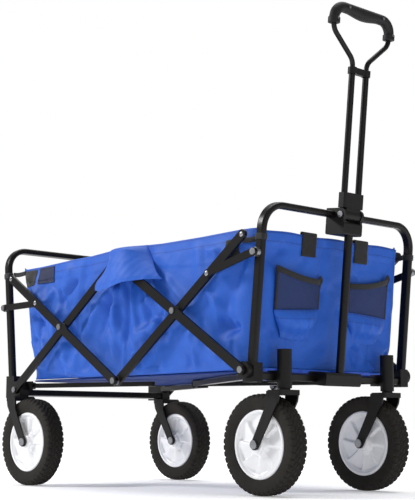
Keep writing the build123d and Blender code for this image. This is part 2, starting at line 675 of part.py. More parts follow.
def all_nodes():
    """Every node name with its shape, in datum coordinates."""
    front_axle_x = STEM_X - TRAIL
    rear_axle_x = REAR_FORK_X + TRAIL
    spots = {
        "front_right": (front_axle_x, -FRONT_WHEEL_Y),
        "front_left": (front_axle_x, FRONT_WHEEL_Y),
        "rear_right": (rear_axle_x, -REAR_WHEEL_Y),
        "rear_left": (rear_axle_x, REAR_WHEEL_Y),
    }
    nodes = {
        "front_hoop": front_hoop(),
        "front_cross_bar": front_bar(),
        "front_corner_blocks": front_corner_blocks(),
        "front_rivets": front_rivets(),
        "caster_housings": caster_housings(),
        "front_post": front_post(),
        "post_foot": post_foot(),
        "handle_bracket": handle_bracket(),
        "handle_pivot_pin": handle_pin(),
        "handle_yoke": handle_yoke(),
        "handle_outer_tubes": handle_tubes(),
        "handle_collar": handle_collar(),
        "handle_loop_rod": front(loop_rod()),
        "handle_grip": handle_grip(),
        "handle_screws": handle_screws(),
        "rear_hoop": rear_hoop(),
        "rear_cross_bar": rear_bar(),
        "rear_corner_blocks": rear_corner_blocks(),
        "rear_rivets": rear_rivets(),
        "rear_forks": rear_forks(),
        "bar_a_right": bar_a(),
        "bar_a_left": mirror(bar_a(), about=Plane.XZ),
        "bar_b_right": bar_b(),
        "bar_b_left": mirror(bar_b(), about=Plane.XZ),
        "bar_c_right": bar_c(),
        "bar_c_left": mirror(bar_c(), about=Plane.XZ),
        "bar_d_right": bar_d(),
        "bar_d_left": mirror(bar_d(), about=Plane.XZ),
        "rivets_a": outer_rivets(REAR_X, MID_LOW),
        "rivets_d": outer_rivets(FRONT_X, MID_TOP),
        "front_links": link(FRONT_LINK),
        "rear_links": link(REAR_LINK),
        "floor_bars_front": floor_bars_front(),
        "floor_bars_rear": floor_bars_rear(),
        "floor_hub": floor_hub(),
        "floor_board_front": board(FLOOR_MID_X + CENTRE_BOARD, FLOOR_FRONT_X - BOARD_EDGE, [-110.0, -300.0]),
        "floor_board_centre": board(FLOOR_MID_X - CENTRE_BOARD, FLOOR_MID_X + CENTRE_BOARD, []),
        "floor_board_rear": board(FLOOR_REAR_X + BOARD_EDGE, FLOOR_MID_X - CENTRE_BOARD, [-728.0, -538.0]),
        "caster_fork_right": caster_fork(-1),
        "caster_fork_left": caster_fork(1),
        "axle_front_right": axle(spots["front_right"]),
        "axle_front_left": axle(spots["front_left"]),
        "axles_rear": Compound([*axle(spots["rear_right"]).solids(), *axle(spots["rear_left"]).solids()]),
        "tub_front_panel": tub_front(),
        "tub_rear_panel": tub_rear(),
        "tub_sides": pair(tub_side()),
        "joint_covers": pair(joint_cover()),
        "front_pockets": pair(pocket()),
        "front_straps": pair(front_strap()),
        "corner_straps_front": corner_straps_front(),
        "corner_straps_rear": corner_straps_rear(),
        "label_patch": label_patch(),
    }
    for place, (x, y) in spots.items():
        nodes["tyre_" + place] = wheel_at(tyre(), x, y)
        nodes["wheel_disc_" + place] = wheel_at(wheel_disc(), x, y)
    return nodes


os.makedirs("parts", exist_ok=True)
for name, shape in all_nodes().items():
    export_step(Pos(ORIGIN_X, 0, 0) * shape, "parts/" + name + ".step")
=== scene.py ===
"""Looks of a folding cloth utility wagon with a pull handle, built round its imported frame.

Lengths in the classes are millimetres from the datum at the front hoop; to_row() turns them into the
row frame in metres.  +X is forward (the handle end), +Y left and +Z up.
"""

import json
import logging
import math
from collections.abc import Sequence
from dataclasses import dataclass, field
from enum import Enum

import bmesh
import bpy
import numpy as np
from mathutils import Matrix, Vector

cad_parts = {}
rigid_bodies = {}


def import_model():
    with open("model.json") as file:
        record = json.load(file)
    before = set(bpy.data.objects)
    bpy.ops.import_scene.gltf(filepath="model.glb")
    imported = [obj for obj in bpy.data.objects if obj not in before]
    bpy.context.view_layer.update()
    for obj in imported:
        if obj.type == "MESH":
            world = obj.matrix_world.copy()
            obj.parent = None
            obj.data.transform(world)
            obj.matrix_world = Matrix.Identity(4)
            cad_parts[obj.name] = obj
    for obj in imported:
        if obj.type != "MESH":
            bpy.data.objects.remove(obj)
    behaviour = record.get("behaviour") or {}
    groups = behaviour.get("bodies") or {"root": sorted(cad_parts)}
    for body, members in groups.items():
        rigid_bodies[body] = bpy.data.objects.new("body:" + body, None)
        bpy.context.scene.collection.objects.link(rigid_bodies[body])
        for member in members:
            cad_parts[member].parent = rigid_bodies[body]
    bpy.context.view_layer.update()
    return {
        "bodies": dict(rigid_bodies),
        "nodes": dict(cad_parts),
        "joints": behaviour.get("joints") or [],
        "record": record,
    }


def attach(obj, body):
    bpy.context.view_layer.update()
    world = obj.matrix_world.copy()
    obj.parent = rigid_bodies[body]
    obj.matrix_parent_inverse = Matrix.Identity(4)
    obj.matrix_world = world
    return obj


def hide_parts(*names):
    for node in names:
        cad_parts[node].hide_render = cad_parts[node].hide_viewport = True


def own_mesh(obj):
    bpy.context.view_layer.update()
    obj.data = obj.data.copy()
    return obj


LOG = logging.getLogger("wagon")
MM = 0.001
ORIGIN_X = 396.4
LEAN = math.radians(6.0)
FRONT_PIVOT = (-38.0, 236.0)
REAR_PIVOT = (-800.45, 216.03)
FRONT_HEM_X = -34.0
FRONT_LEG_X = -33.0
REAR_LEG_X = -826.0
UV_NAME = "cloth_uv"
# Half the spread of a plain finish's roughness over its grain.
WEAR = 0.08


class Side(Enum):
    """Which side of the wagon a piece is on, as the sign of its Y."""

    RIGHT = -1
    LEFT = 1


class End(Enum):
    """Which end frame a piece hangs on."""

    FRONT = "front_frame"
    REAR = "rear_frame"


# ---- numbers and surfaces ----------------------------------------------------------------------


def smooth(t: np.ndarray | float) -> np.ndarray:
    """Returns the smooth step 3t^2 - 2t^3 of t held between 0 and 1."""
    t = np.clip(t, 0.0, 1.0)
    return t * t * (3.0 - 2.0 * t)


def mesh_grid(across: np.ndarray, along: np.ndarray) -> tuple[np.ndarray, np.ndarray]:
    """Returns the two parameters of a surface on a grid, the first index running along `across`."""
    return np.meshgrid(across, along, indexing="ij")


def stack(x: np.ndarray, y: np.ndarray, z: np.ndarray) -> np.ndarray:
    """Joins three coordinate grids, widened to one shape, into one grid of points."""
    return np.stack(np.broadcast_arrays(x, y, z), axis=-1).astype(float)


def leaned(points: np.ndarray, end: End) -> np.ndarray:
    """Turns points drawn with the end frame upright into its leaning place.

    The turn is 6 degrees about the frame's low pivot, top outward: x' = px + dx cos a + dz sin a and
    z' = pz + dz cos a - dx sin a, with a negative at the rear.

    Args:
        points: Grid of points in millimetres.
        end: The end frame they belong to.

    Returns:
        The turned grid.
    """
    pivot, angle = (FRONT_PIVOT, LEAN) if end is End.FRONT else (REAR_PIVOT, -LEAN)
    dx, dz = points[..., 0] - pivot[0], points[..., 2] - pivot[1]
    cos_a, sin_a = math.cos(angle), math.sin(angle)
    return stack(pivot[0] + dx * cos_a + dz * sin_a, points[..., 1], pivot[1] + dz * cos_a - dx * sin_a)


def mirrored(points: np.ndarray) -> np.ndarray:
    """Returns the grid on the other side of the wagon."""
    return points * np.array([1.0, -1.0, 1.0])


def to_row(points: np.ndarray) -> np.ndarray:
    """Turns datum millimetres into row-frame metres."""
    return (points + np.array([ORIGIN_X, 0.0, 0.0])) * MM


def ripple(a: np.ndarray, b: np.ndarray, wave: float, seed: float) -> np.ndarray:
    """Soft irregular waves between about -1 and 1: three sines of unlike directions multiplied out.

    Args:
        a: First coordinate in millimetres.
        b: Second coordinate in millimetres.
        wave: Length of the longest wave in millimetres.
        seed: Shift that makes one piece unlike the next.
    """
    k = 2.0 * math.pi / wave
    first = np.sin(k * (a + 0.31 * b) + seed)
    second = np.sin(k * 1.63 * (0.42 * a - b) + 2.1 * seed)
    third = np.sin(k * 2.27 * (a - 0.74 * b) + 3.7 * seed)
    return 0.5 * first + 0.3 * second * first + 0.3 * third


def drag_folds(a: np.ndarray, b: np.ndarray, rays: Sequence[tuple[float, ...]]) -> np.ndarray:
    """Height of folds that run out from where cloth is pulled.

    Each fold is a ridge along a ray: a bell across the ray that widens with distance, times a swell
    along it that starts sharply and dies away.

    Args:
        a: Horizontal coordinate grid.
        b: Vertical coordinate grid.
        rays: Start a, start b, heading in degrees, length, half width and height of each fold.

    Returns:
        Grid of heights in millimetres.
    """
    total = np.zeros(np.broadcast(a, b).shape)
    for start_a, start_b, heading, length, width, height in rays:
        cos_h, sin_h = math.cos(math.radians(heading)), math.sin(math.radians(heading))
        da, db = a - start_a, b - start_b
        run = (da * cos_h + db * sin_h) / length
        off = (db * cos_h - da * sin_h) / (width * (1.0 + 1.2 * np.clip(run, 0.0, 1.0)))
        swell = smooth(run * 6.0 + 0.4) * smooth((1.0 - run) * 1.6)
        total = total + height * np.exp(-off * off) * swell
    return total


def running_length(path: np.ndarray) -> np.ndarray:
    """Length along a path at each of its points."""
    return np.concatenate([[0.0], np.cumsum(np.linalg.norm(np.diff(path, axis=0), axis=1))])


def arc_uv(points: np.ndarray) -> np.ndarray:
    """Flat pattern coordinates in metres: the mean running length of the rows and of the columns."""
    step_u = np.linalg.norm(np.diff(points, axis=0), axis=-1).mean(axis=1)
    step_v = np.linalg.norm(np.diff(points, axis=1), axis=-1).mean(axis=0)
    u = np.concatenate([[0.0], np.cumsum(step_u)]) * MM
    v = np.concatenate([[0.0], np.cumsum(step_v)]) * MM
    return np.stack(np.meshgrid(u, v, indexing="ij"), axis=-1)


@dataclass
class Patchwork:
    """Grids of points gathered into one mesh, each with its own flat pattern coordinates."""

    points: list[np.ndarray] = field(default_factory=list)
    quads: list[np.ndarray] = field(default_factory=list)
    pattern: list[np.ndarray] = field(default_factory=list)
    count: int = 0

    def add(
        self, grid: np.ndarray, round_u: bool = False, round_v: bool = False, turn: bool = False
    ) -> "Patchwork":
        """Adds one grid.

        Args:
            grid: Points in datum millimetres, shaped (rows, columns, 3).
            round_u: True when the last row joins the first.
            round_v: True when the last column joins the first.
            turn: True to turn the faces the other way.

        Returns:
            Itself, so that calls can follow one another.
        """
        rows, columns = grid.shape[:2]
        index = np.arange(rows * columns).reshape(rows, columns) + self.count
        if round_u:
            index = np.vstack([index, index[:1]])
        if round_v:
            index = np.hstack([index, index[:, :1]])
        quads = np.stack([index[:-1, :-1], index[1:, :-1], index[1:, 1:], index[:-1, 1:]], axis=-1)
        quads = quads.reshape(-1, 4)
        self.quads.append(quads[:, ::-1] if turn else quads)
        self.points.append(to_row(grid).reshape(-1, 3))
        self.pattern.append(arc_uv(grid).reshape(-1, 2))
        self.count += rows * columns
        return self

    def add_pair(self, grid: np.ndarray, **kwargs: bool) -> "Patchwork":
        """Adds a right-hand grid and its left-hand mirror image."""
        turn = kwargs.pop("turn", False)
        self.add(grid, turn=turn, **kwargs)
        return self.add(mirrored(grid), turn=not turn, **kwargs)

    def piece(self, name: str, finish: bpy.types.Material, slot: str, solid: float = 0.0) -> bpy.types.Object:
        """Makes the mesh object, smooth shaded.

        Args:
            name: Name of the piece.
            finish: Its material.
            slot: The record's material slot; not used.
            solid: Thickness in millimetres to give an open sheet, inward from its face.

        Returns:
            The object at the origin.
        """
        vertices = np.vstack(self.points)
        quads = np.vstack(self.quads)
        mesh = bpy.data.meshes.new(name)
        mesh.from_pydata(vertices.tolist(), [], quads.tolist())
        layer = mesh.uv_layers.new(name=UV_NAME)
        layer.data.foreach_set("uv", np.vstack(self.pattern)[quads.ravel()].astype(np.float32).ravel())
        mesh.polygons.foreach_set("use_smooth", np.ones(len(quads), dtype=bool))
        mesh.materials.append(finish)
        mesh.validate()
        mesh.update()
        obj = bpy.data.objects.new(name, mesh)
        bpy.context.scene.collection.objects.link(obj)
        if solid:
            modifier = obj.modifiers.new("thickness", "SOLIDIFY")
            modifier.thickness = solid * MM
            modifier.offset = -1.0
        else:
            point_outward(mesh)
        LOG.info("%s: %d faces", name, len(quads))
        return obj


def point_outward(mesh: bpy.types.Mesh) -> None:
    """Merges doubled points and turns a closed mesh's faces outward."""
    work = bmesh.new()
    work.from_mesh(mesh)
    bmesh.ops.remove_doubles(work, verts=work.verts, dist=1e-6)
    bmesh.ops.recalc_face_normals(work, faces=work.faces)
    work.to_mesh(mesh)
    work.free()


def tube_along(path: np.ndarray, side: np.ndarray, radius: np.ndarray, turns: int) -> np.ndarray:
    """Carries a closed outline along a flat path.

    At each path point the outline's radius is measured from the path along cos t times the in-plane
    normal plus sin t times the side direction.

    Args:
        path: Path points, shaped (n, 3).
        side: Unit direction square to the path's plane.
        radius: Radii shaped (n, turns), in millimetres.
        turns: Points round the outline.

    Returns:
        Grid shaped (n, turns, 3), to be closed round its second index.
    """
    ahead = np.gradient(path, axis=0)
    ahead /= np.linalg.norm(ahead, axis=1, keepdims=True)
    normal = np.cross(side, ahead)
    angle = np.linspace(0.0, 2.0 * math.pi, turns, endpoint=False)
    along_normal = normal[:, None, :] * np.cos(angle)[None, :, None]
    along_side = side[None, None, :] * np.sin(angle)[None, :, None]
    return path[:, None, :] + (along_normal + along_side) * radius[:, :, None]


# ---- finishes ----------------------------------------------------------------------------------


def linear(hex_colour: str) -> tuple[float, float, float, float]:
    """Turns an sRGB hex colour into linear red, green, blue and alpha."""
    values = [int(hex_colour[i : i + 2], 16) / 255.0 for i in (1, 3, 5)]
    straight = [v / 12.92 if v <= 0.04045 else ((v + 0.055) / 1.055) ** 2.4 for v in values]
    return (straight[0], straight[1], straight[2], 1.0)


def add_node(
    tree: bpy.types.NodeTree, kind: str, inputs: dict | None = None, **settings: object
) -> bpy.types.Node:
    """Adds one shader node with its settings, and links or fills its inputs.

    Args:
        tree: The material's node tree.
        kind: Blender's node type.
        inputs: Input name or number to a value or to the socket that feeds it.
        **settings: Properties of the node.

    Returns:
        The node.
    """
    node = tree.nodes.new(kind)
    for key, value in settings.items():
        setattr(node, key, value)
    for key, value in (inputs or {}).items():
        if isinstance(value, bpy.types.NodeSocket):
            tree.links.new(value, node.inputs[key])
        else:
            node.inputs[key].default_value = value
    return node


def math_node(tree: bpy.types.NodeTree, operation: str, *values: object) -> bpy.types.NodeSocket:
    """Adds a Math node and returns its output."""
    return add_node(tree, "ShaderNodeMath", dict(enumerate(values)), operation=operation).outputs[0]


def sine(tree: bpy.types.NodeTree, metres: bpy.types.NodeSocket, length_mm: float) -> bpy.types.NodeSocket:
    """Adds a sine wave of a real length along a coordinate in metres and returns its output."""
    return math_node(tree, "SINE", math_node(tree, "MULTIPLY", metres, 2000.0 * math.pi / length_mm))


def noise(
    tree: bpy.types.NodeTree, place: bpy.types.NodeSocket, size_mm: float, detail: float, **inputs: float
) -> bpy.types.NodeSocket:
    """Adds a noise of a real size at a place and returns its value.

    Args:
        tree: The material's node tree.
        place: Coordinates in metres.
        size_mm: Size of its largest patches.
        detail: How many finer layers it has.
        **inputs: Further inputs of the node by name.

    Returns:
        The noise's value.
    """
    values = {"Vector": place, "Scale": 1000.0 / size_mm, "Detail": detail, **inputs}
    return add_node(tree, "ShaderNodeTexNoise", values).outputs["Fac"]


def mix_colours(
    tree: bpy.types.NodeTree, share: object, first: object, second: object
) -> bpy.types.NodeSocket:
    """Adds a colour mix and returns its output: the first colour at share 0, the second at 1."""
    return add_node(tree, "ShaderNodeMix", {0: share, 6: first, 7: second}, data_type="RGBA").outputs[2]


@dataclass(frozen=True)
class Finish:
    """A surface finish: a shader with two close colours mottled together and a fine bump."""

    name: str
    colour: str
    second: str
    roughness: float = 0.5
    metallic: float = 0.0
    coat: float = 0.0
    sheen: float = 0.0
    shine: float = 0.5
    grain_mm: float = 1.5
    grain_depth_mm: float = 0.05
    mottle_mm: float = 60.0

    def start(self) -> tuple[bpy.types.Material, bpy.types.NodeTree, bpy.types.Node]:
        """Makes the material with its constant sockets set.

        Returns:
            The material, its node tree and its shader.
        """
        material = bpy.data.materials.new(self.name)
        material.use_nodes = True
        tree = material.node_tree
        shader = tree.nodes["Principled BSDF"]
        shader.inputs["Base Color"].default_value = linear(self.colour)
        shader.inputs["Metallic"].default_value = self.metallic
        shader.inputs["Roughness"].default_value = self.roughness
        shader.inputs["Coat Weight"].default_value = self.coat
        shader.inputs["Coat Roughness"].default_value = 0.12
        shader.inputs["Specular IOR Level"].default_value = self.shine
        shader.inputs["Sheen Weight"].default_value = self.sheen
        shader.inputs["Sheen Roughness"].default_value = 0.4
        return material, tree, shader

    def mottle(self, tree: bpy.types.NodeTree, place: bpy.types.NodeSocket) -> bpy.types.NodeSocket:
        """Mixes the two colours by soft noise, as uneven dye, dust or moulding does."""
        patches = noise(tree, place, self.mottle_mm, 5.0, Roughness=0.6)
        return mix_colours(tree, patches, linear(self.colour), linear(self.second))

    def bump(
        self, tree: bpy.types.NodeTree, height: bpy.types.NodeSocket, depth_mm: float, under: object = None
    ) -> bpy.types.NodeSocket:
        """Adds a bump of a real depth over another normal and returns the new normal."""
        inputs = {"Height": height, "Distance": depth_mm * MM, "Strength": 1.0}
        if under is not None:
            inputs["Normal"] = under
        return add_node(tree, "ShaderNodeBump", inputs).outputs[0]

    def build(self) -> bpy.types.Material:
        """Builds the plain mottled and grained finish on Object coordinates."""
        material, tree, shader = self.start()
        place = add_node(tree, "ShaderNodeTexCoord").outputs["Object"]
        tree.links.new(self.mottle(tree, place), shader.inputs["Base Color"])
        grain = noise(tree, place, self.grain_mm, 3.0)
        tree.links.new(self.bump(tree, grain, self.grain_depth_mm), shader.inputs["Normal"])
        wear = add_node(
            tree,
            "ShaderNodeMapRange",
            {"Value": grain, "To Min": self.roughness - WEAR, "To Max": self.roughness + WEAR},
        )
        tree.links.new(wear.outputs[0], shader.inputs["Roughness"])
        return material


@dataclass(frozen=True)
class WovenCloth(Finish):
    """Coated woven polyester: a square weave, soft creasing and rows of stitches below the hem."""

    thread_mm: float = 2.4
    crease_mm: float = 75.0
    crease_depth_mm: float = 3.6
    stitch: str = "#20409a"
    stitch_rows_mm: tuple[float, ...] = ()
    stitch_rise_mm: float = 0.5

    def stitches(self, tree: bpy.types.NodeTree, across: object, along: object) -> bpy.types.NodeSocket:
        """Marks dashes 5 mm apart along each row, 1.6 mm wide so that they show at arm's length."""
        pulse = math_node(tree, "FRACT", math_node(tree, "DIVIDE", along, 5.0 * MM))
        dash = math_node(tree, "LESS_THAN", pulse, 0.62)
        total: object = 0.0
        for row in self.stitch_rows_mm:
            off = math_node(tree, "ABSOLUTE", math_node(tree, "SUBTRACT", across, row * MM))
            total = math_node(tree, "MAXIMUM", total, math_node(tree, "LESS_THAN", off, 0.8 * MM))
        return math_node(tree, "MULTIPLY", dash, total)

    def build(self) -> bpy.types.Material:
        """Builds the cloth on its flat pattern coordinates."""
        material, tree, shader = self.start()
        flat = add_node(tree, "ShaderNodeUVMap", uv_map=UV_NAME).outputs[0]
        place = add_node(tree, "ShaderNodeTexCoord").outputs["Object"]
        colour = self.mottle(tree, place)
        axes = add_node(tree, "ShaderNodeSeparateXYZ", {0: flat})
        # The real thread is about 0.5 mm; it is drawn coarser so that the weave shows.
        weave = math_node(tree, "MULTIPLY", *(sine(tree, axes.outputs[i], self.thread_mm) for i in (0, 1)))
        crease = noise(tree, place, self.crease_mm, 3.0, Roughness=0.55, Distortion=0.2)
        fine = noise(tree, place, self.crease_mm / 2.9, 2.0, Roughness=0.5, Distortion=1.2)
        normal = self.bump(tree, crease, self.crease_depth_mm)
        normal = self.bump(tree, fine, self.crease_depth_mm * 0.12, normal)
        normal = self.bump(tree, weave, self.grain_depth_mm, normal)
        if self.stitch_rows_mm:
            mask = self.stitches(tree, axes.outputs[1], axes.outputs[0])
            colour = mix_colours(tree, mask, colour, linear(self.stitch))
            normal = self.bump(tree, mask, self.stitch_rise_mm, normal)
        tree.links.new(colour, shader.inputs["Base Color"])
        tree.links.new(normal, shader.inputs["Normal"])
        return material


@dataclass(frozen=True)
class NetCloth(Finish):
    """Open polyester net over cloth: dark cords in a diamond mesh with the cloth showing through."""

    hole: str = "#1a3776"
    cell_mm: float = 3.2

    def build(self) -> bpy.types.Material:
        """Builds the net from two crossed rows of waves; real holes are about 1.5 mm, drawn at 3 mm."""
        material, tree, shader = self.start()
        flat = add_node(tree, "ShaderNodeUVMap", uv_map=UV_NAME).outputs[0]
        diagonal = {"Vector": flat, "Rotation": (0.0, 0.0, math.radians(45.0))}
        turned = add_node(tree, "ShaderNodeMapping", diagonal)
        axes = add_node(tree, "ShaderNodeSeparateXYZ", {0: turned.outputs[0]})
        # One cell is half a wave, since the sine's sign is dropped.
        rows = (math_node(tree, "ABSOLUTE", sine(tree, axes.outputs[i], 2.0 * self.cell_mm)) for i in (0, 1))
        cords = math_node(tree, "MINIMUM", *rows)
        mask = math_node(tree, "GREATER_THAN", cords, 0.5)
        place = add_node(tree, "ShaderNodeTexCoord").outputs["Object"]
        colour = mix_colours(tree, mask, self.mottle(tree, place), linear(self.hole))
        tree.links.new(colour, shader.inputs["Base Color"])
        tree.links.new(self.bump(tree, cords, -self.grain_depth_mm), shader.inputs["Normal"])
        return material


@dataclass(frozen=True)
class Webbing(Finish):
    """Flat woven webbing: ribs across the tape."""

    rib_mm: float = 2.2

    def build(self) -> bpy.types.Material:
        """Builds the ribs on the tape's flat coordinates."""
        material, tree, shader = self.start()
        flat = add_node(tree, "ShaderNodeUVMap", uv_map=UV_NAME).outputs[0]
        axes = add_node(tree, "ShaderNodeSeparateXYZ", {0: flat})
        rib = sine(tree, axes.outputs[0], self.rib_mm)
        place = add_node(tree, "ShaderNodeTexCoord").outputs["Object"]
        tree.links.new(self.mottle(tree, place), shader.inputs["Base Color"])
        tree.links.new(self.bump(tree, rib, self.grain_depth_mm), shader.inputs["Normal"])
        return material


FINISHES: dict[str, Finish] = {
    # Powder-coated steel tube: near black, a soft gloss with a faint orange peel.
    "black_frame": Finish(
        "black_powder_coat", "#060403", "#0a0605", 0.33, shine=0.28, grain_mm=2.0, grain_depth_mm=0.03
    ),
    # Moulded nylon, sparked tool: matte black with fine grain.
    "black_plastic": Finish(
        "moulded_nylon", "#080605", "#0f0c0a", 0.50, shine=0.28, grain_mm=1.2, grain_depth_mm=0.06
    ),
    # Zinc-plated rivets and bolts: grey metal, slightly clouded.
    "rivet_steel": Finish(
        "zinc_plate", "#a4a5a8", "#77797d", 0.38, 1.0, grain_mm=3.0, grain_depth_mm=0.02, mottle_mm=9.0
    ),
    # Soft-touch grip moulding.
    "grip_plastic": Finish(
        "grip_moulding", "#0c0a0a", "#151313", 0.58, shine=0.35, grain_mm=1.0, grain_depth_mm=0.08
    ),
    # Solid rubber tyre, a little dusty.
    "tyre_rubber": Finish(
        "tyre_rubber", "#1f1d1a", "#302d29", 0.80, shine=0.2, grain_mm=1.6, grain_depth_mm=0.12,
        mottle_mm=18.0,
    ),
    # Glossy white polypropylene wheel moulding.
    "disc_plastic": Finish(
        "white_polypropylene", "#fbfbfc", "#f0f1f4", 0.24, coat=0.3, grain_mm=4.0, grain_depth_mm=0.02
    ),
    "blue_cloth": WovenCloth(
        "royal_blue_polyester", "#2866d0", "#1d53b6", 0.50, shine=0.3, sheen=0.04, grain_depth_mm=0.10,
        stitch_rows_mm=(3.5, 20.0),
    ),
    "floor_cloth": WovenCloth(
        "floor_polyester", "#173a88", "#122f70", 0.68, shine=0.2, grain_depth_mm=0.10, crease_depth_mm=0.8
    ),
    "mesh_cloth": NetCloth("pocket_net", "#0c1a40", "#10224f", 0.7, grain_depth_mm=0.4),
    "black_webbing": Webbing("black_webbing", "#0d0d10", "#17171b", 0.72, sheen=0.15, grain_depth_mm=0.15),
    "label_cloth": WovenCloth("woven_label", "#141c3c", "#1c2750", 0.7, thread_mm=1.8, crease_depth_mm=0.1),
}


@dataclass
class Wardrobe:
    """The finishes, each built once, and the dressing of the frame's own nodes."""

    made: dict[str, bpy.types.Material] = field(default_factory=dict)

    def get(self, slot: str) -> bpy.types.Material:
        """Returns the material of a slot, building it the first time."""
        if slot not in self.made:
            self.made[slot] = FINISHES[slot].build()
        return self.made[slot]

    def dress_frame(self, frame: dict) -> None:
        """Gives every frame node the finish of its material slot."""
        for part in frame["record"]["subparts"]:
            node = frame["nodes"][part["node"]]
            node.data.materials.clear()
            node.data.materials.append(self.get(part["material_slot"]))


# ---- wheels ------------------------------------------------------------------------------------


def turned_outline(half: np.ndarray, rows: int, turns: int) -> tuple[np.ndarray, np.ndarray, np.ndarray]:
    """Mirrors half an outline, spaces points evenly along it and spreads them round the Y axis.

    Args:
        half: Radius and Y of each corner on one side, the last one on the middle plane.
        rows: Points along the whole outline.
        turns: Points round the axis.

    Returns:
        Turn angle, radius and Y of every point, each shaped (turns, rows).
    """
    whole = np.vstack([half, half[-2::-1] * [1.0, -1.0]])
    length = running_length(whole)
    at = np.linspace(0.0, length[-1], rows)
    r, y = np.interp(at, length, whole[:, 0]), np.interp(at, length, whole[:, 1])
    angle, row_r = mesh_grid(np.linspace(0.0, 2.0 * math.pi, turns, endpoint=False), r)
    return angle, row_r, np.broadcast_to(y, row_r.shape)


@dataclass
class Wheels:
    """Four wheels: a knobbly tyre round a disc with turbine blades."""

    axle_z: float = 97.0
    front: tuple[float, float] = (-69.0, 152.0)
    rear: tuple[float, float] = (-741.0, 222.0)
    lugs: int = 46
    lug_height: float = 2.6
    shoulder: float = 12.2
    middle_groove: float = 4.3
    fans: int = 8
    fan_depth: float = 5.4

    def tyre(self) -> np.ndarray:
        """Tyre surface: an outline turned about Y, raised where rows of lugs stand.

        The outline runs from one bead over the tread to the other and back along the seat.  A lug's
        height is a flat-topped wave of the turn angle, slanted across the middle rows and half a pitch
        out of step at the shoulders, cut by grooves at fixed distances from the middle.
        """
        outline = np.array(
            [(65.9, -14.0), (67.5, -16.6), (72.0, -18.4), (79.0, -20.4), (85.0, -20.8), (89.5, -19.8),
             (92.4, -16.6), (93.4, -12.0), (93.6, -6.0), (93.6, 0.0)]
        )
        angle, row_r, row_y = turned_outline(outline, 64, self.lugs * 12)
        reach = np.abs(row_y)
        outer = (reach > self.shoulder).astype(float)
        phase = angle * self.lugs / (2.0 * math.pi) + 0.5 * outer + 0.11 * reach * (1.0 - outer)
        top = smooth((np.cos(2.0 * math.pi * phase) + 0.80) * 2.4)
        grooves = smooth(np.abs(reach - self.shoulder) / 1.3 - 0.2)
        grooves = grooves * smooth(np.abs(reach - self.middle_groove) / 1.1 - 0.2 + 3.0 * outer)
        lift = self.lug_height * top * grooves * smooth((row_r - 84.5) / 5.0)
        sideways = np.sign(row_y) * lift * 0.25 * smooth((reach - 17.0) / 2.5) * smooth((row_r - 80.0) / 6.0)
        radius = np.minimum(row_r + 0.8 * smooth((row_r - 88.0) / 4.0) + lift, self.axle_z)
        return stack(radius * np.cos(angle), row_y + sideways, radius * np.sin(angle))

    def disc(self) -> np.ndarray:
        """Disc surface: an outline turned about Y, with turbine blades sunk into both faces.

        Each blade slopes from flush at its leading edge to its full depth, then rises in a short step; the
        edges sweep back a little with the radius, and the depth fades out at the hub and the rim.
        """
        outline = np.array(
            [(5.3, -21.4), (12.5, -21.4), (14.5, -20.6), (15.6, -15.0), (18.5, -13.2), (22.0, -12.8),
             (56.0, -12.8), (58.5, -13.6), (60.5, -16.6), (64.0, -17.0), (66.2, -15.2), (66.2, 0.0)]
        )
        angle, row_r, row_y = turned_outline(outline, 120, 256)
        share = (angle * self.fans / (2.0 * math.pi) + 0.004 * (row_r - 20.0)) % 1.0
        step = 5.0 * self.fans / (2.0 * math.pi * np.maximum(row_r, 1.0))
        blade = smooth(share / 0.85) ** 0.8 * smooth((1.0 - share) / step)
        along = smooth((row_r - 20.5) / 5.0) * smooth((56.5 - row_r) / 4.0)
        depth = self.fan_depth * blade * along * (np.abs(row_y) > 10.0)
        face = row_y - np.sign(row_y) * depth
        return stack(row_r * np.cos(angle), face, row_r * np.sin(angle))

    def build(self, wardrobe: Wardrobe) -> None:
        """Builds the four wheels and puts each on its own body."""
        tyre, disc = self.tyre(), self.disc()
        for end, (x, reach) in (("front", self.front), ("rear", self.rear)):
            for side in Side:
                place = f"{end}_{side.name.lower()}"
                shift = np.array([x, side.value * reach, self.axle_z])
                body = f"wheel_{place}"
                rubber = Patchwork().add(tyre + shift, round_u=True, round_v=True)
                rubber = rubber.piece(f"knobbly_tyre_{place}", wardrobe.get("tyre_rubber"), "tyre_rubber")
                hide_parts(f"tyre_{place}")
                moulding = Patchwork().add(disc + shift, round_u=True, round_v=True)
                moulding = moulding.piece(f"fan_disc_{place}", wardrobe.get("disc_plastic"), "disc_plastic")
                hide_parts(f"wheel_disc_{place}")
                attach(rubber, body)
                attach(moulding, body)


# ---- cloth tub ---------------------------------------------------------------------------------


@dataclass(frozen=True)
class LooseCreases:
    """Short loose creases strewn over a panel from a fixed seed.

    Places, lengths and half widths are drawn evenly between two ends; headings and heights are drawn
    from a bell given by its middle and spread.
    """

    seed: int
    count: int
    across: tuple[float, float]
    height_z: tuple[float, float]
    heading: tuple[float, float]
    length: tuple[float, float]
    width: tuple[float, float]
    rise: tuple[float, float]

    def rays(self) -> list[tuple[float, ...]]:
        """Draws the creases in the form that drag_folds() takes."""
        dice = np.random.default_rng(self.seed)
        drawn = (
            dice.uniform(*self.across, self.count),
            dice.uniform(*self.height_z, self.count),
            dice.normal(*self.heading, self.count),
            dice.uniform(*self.length, self.count),
            dice.uniform(*self.width, self.count),
            dice.normal(*self.rise, self.count),
        )
        return list(zip(*drawn))


SIDE_CREASES = LooseCreases(
    11, 90, (-800.0, -60.0), (270.0, 480.0), (262.0, 48.0), (50.0, 150.0), (5.0, 10.5), (0.0, 6.0)
)
END_CREASES = LooseCreases(
    23, 46, (-190.0, 190.0), (256.0, 480.0), (268.0, 55.0), (45.0, 130.0), (6.0, 12.0), (-2.0, 5.4)
)


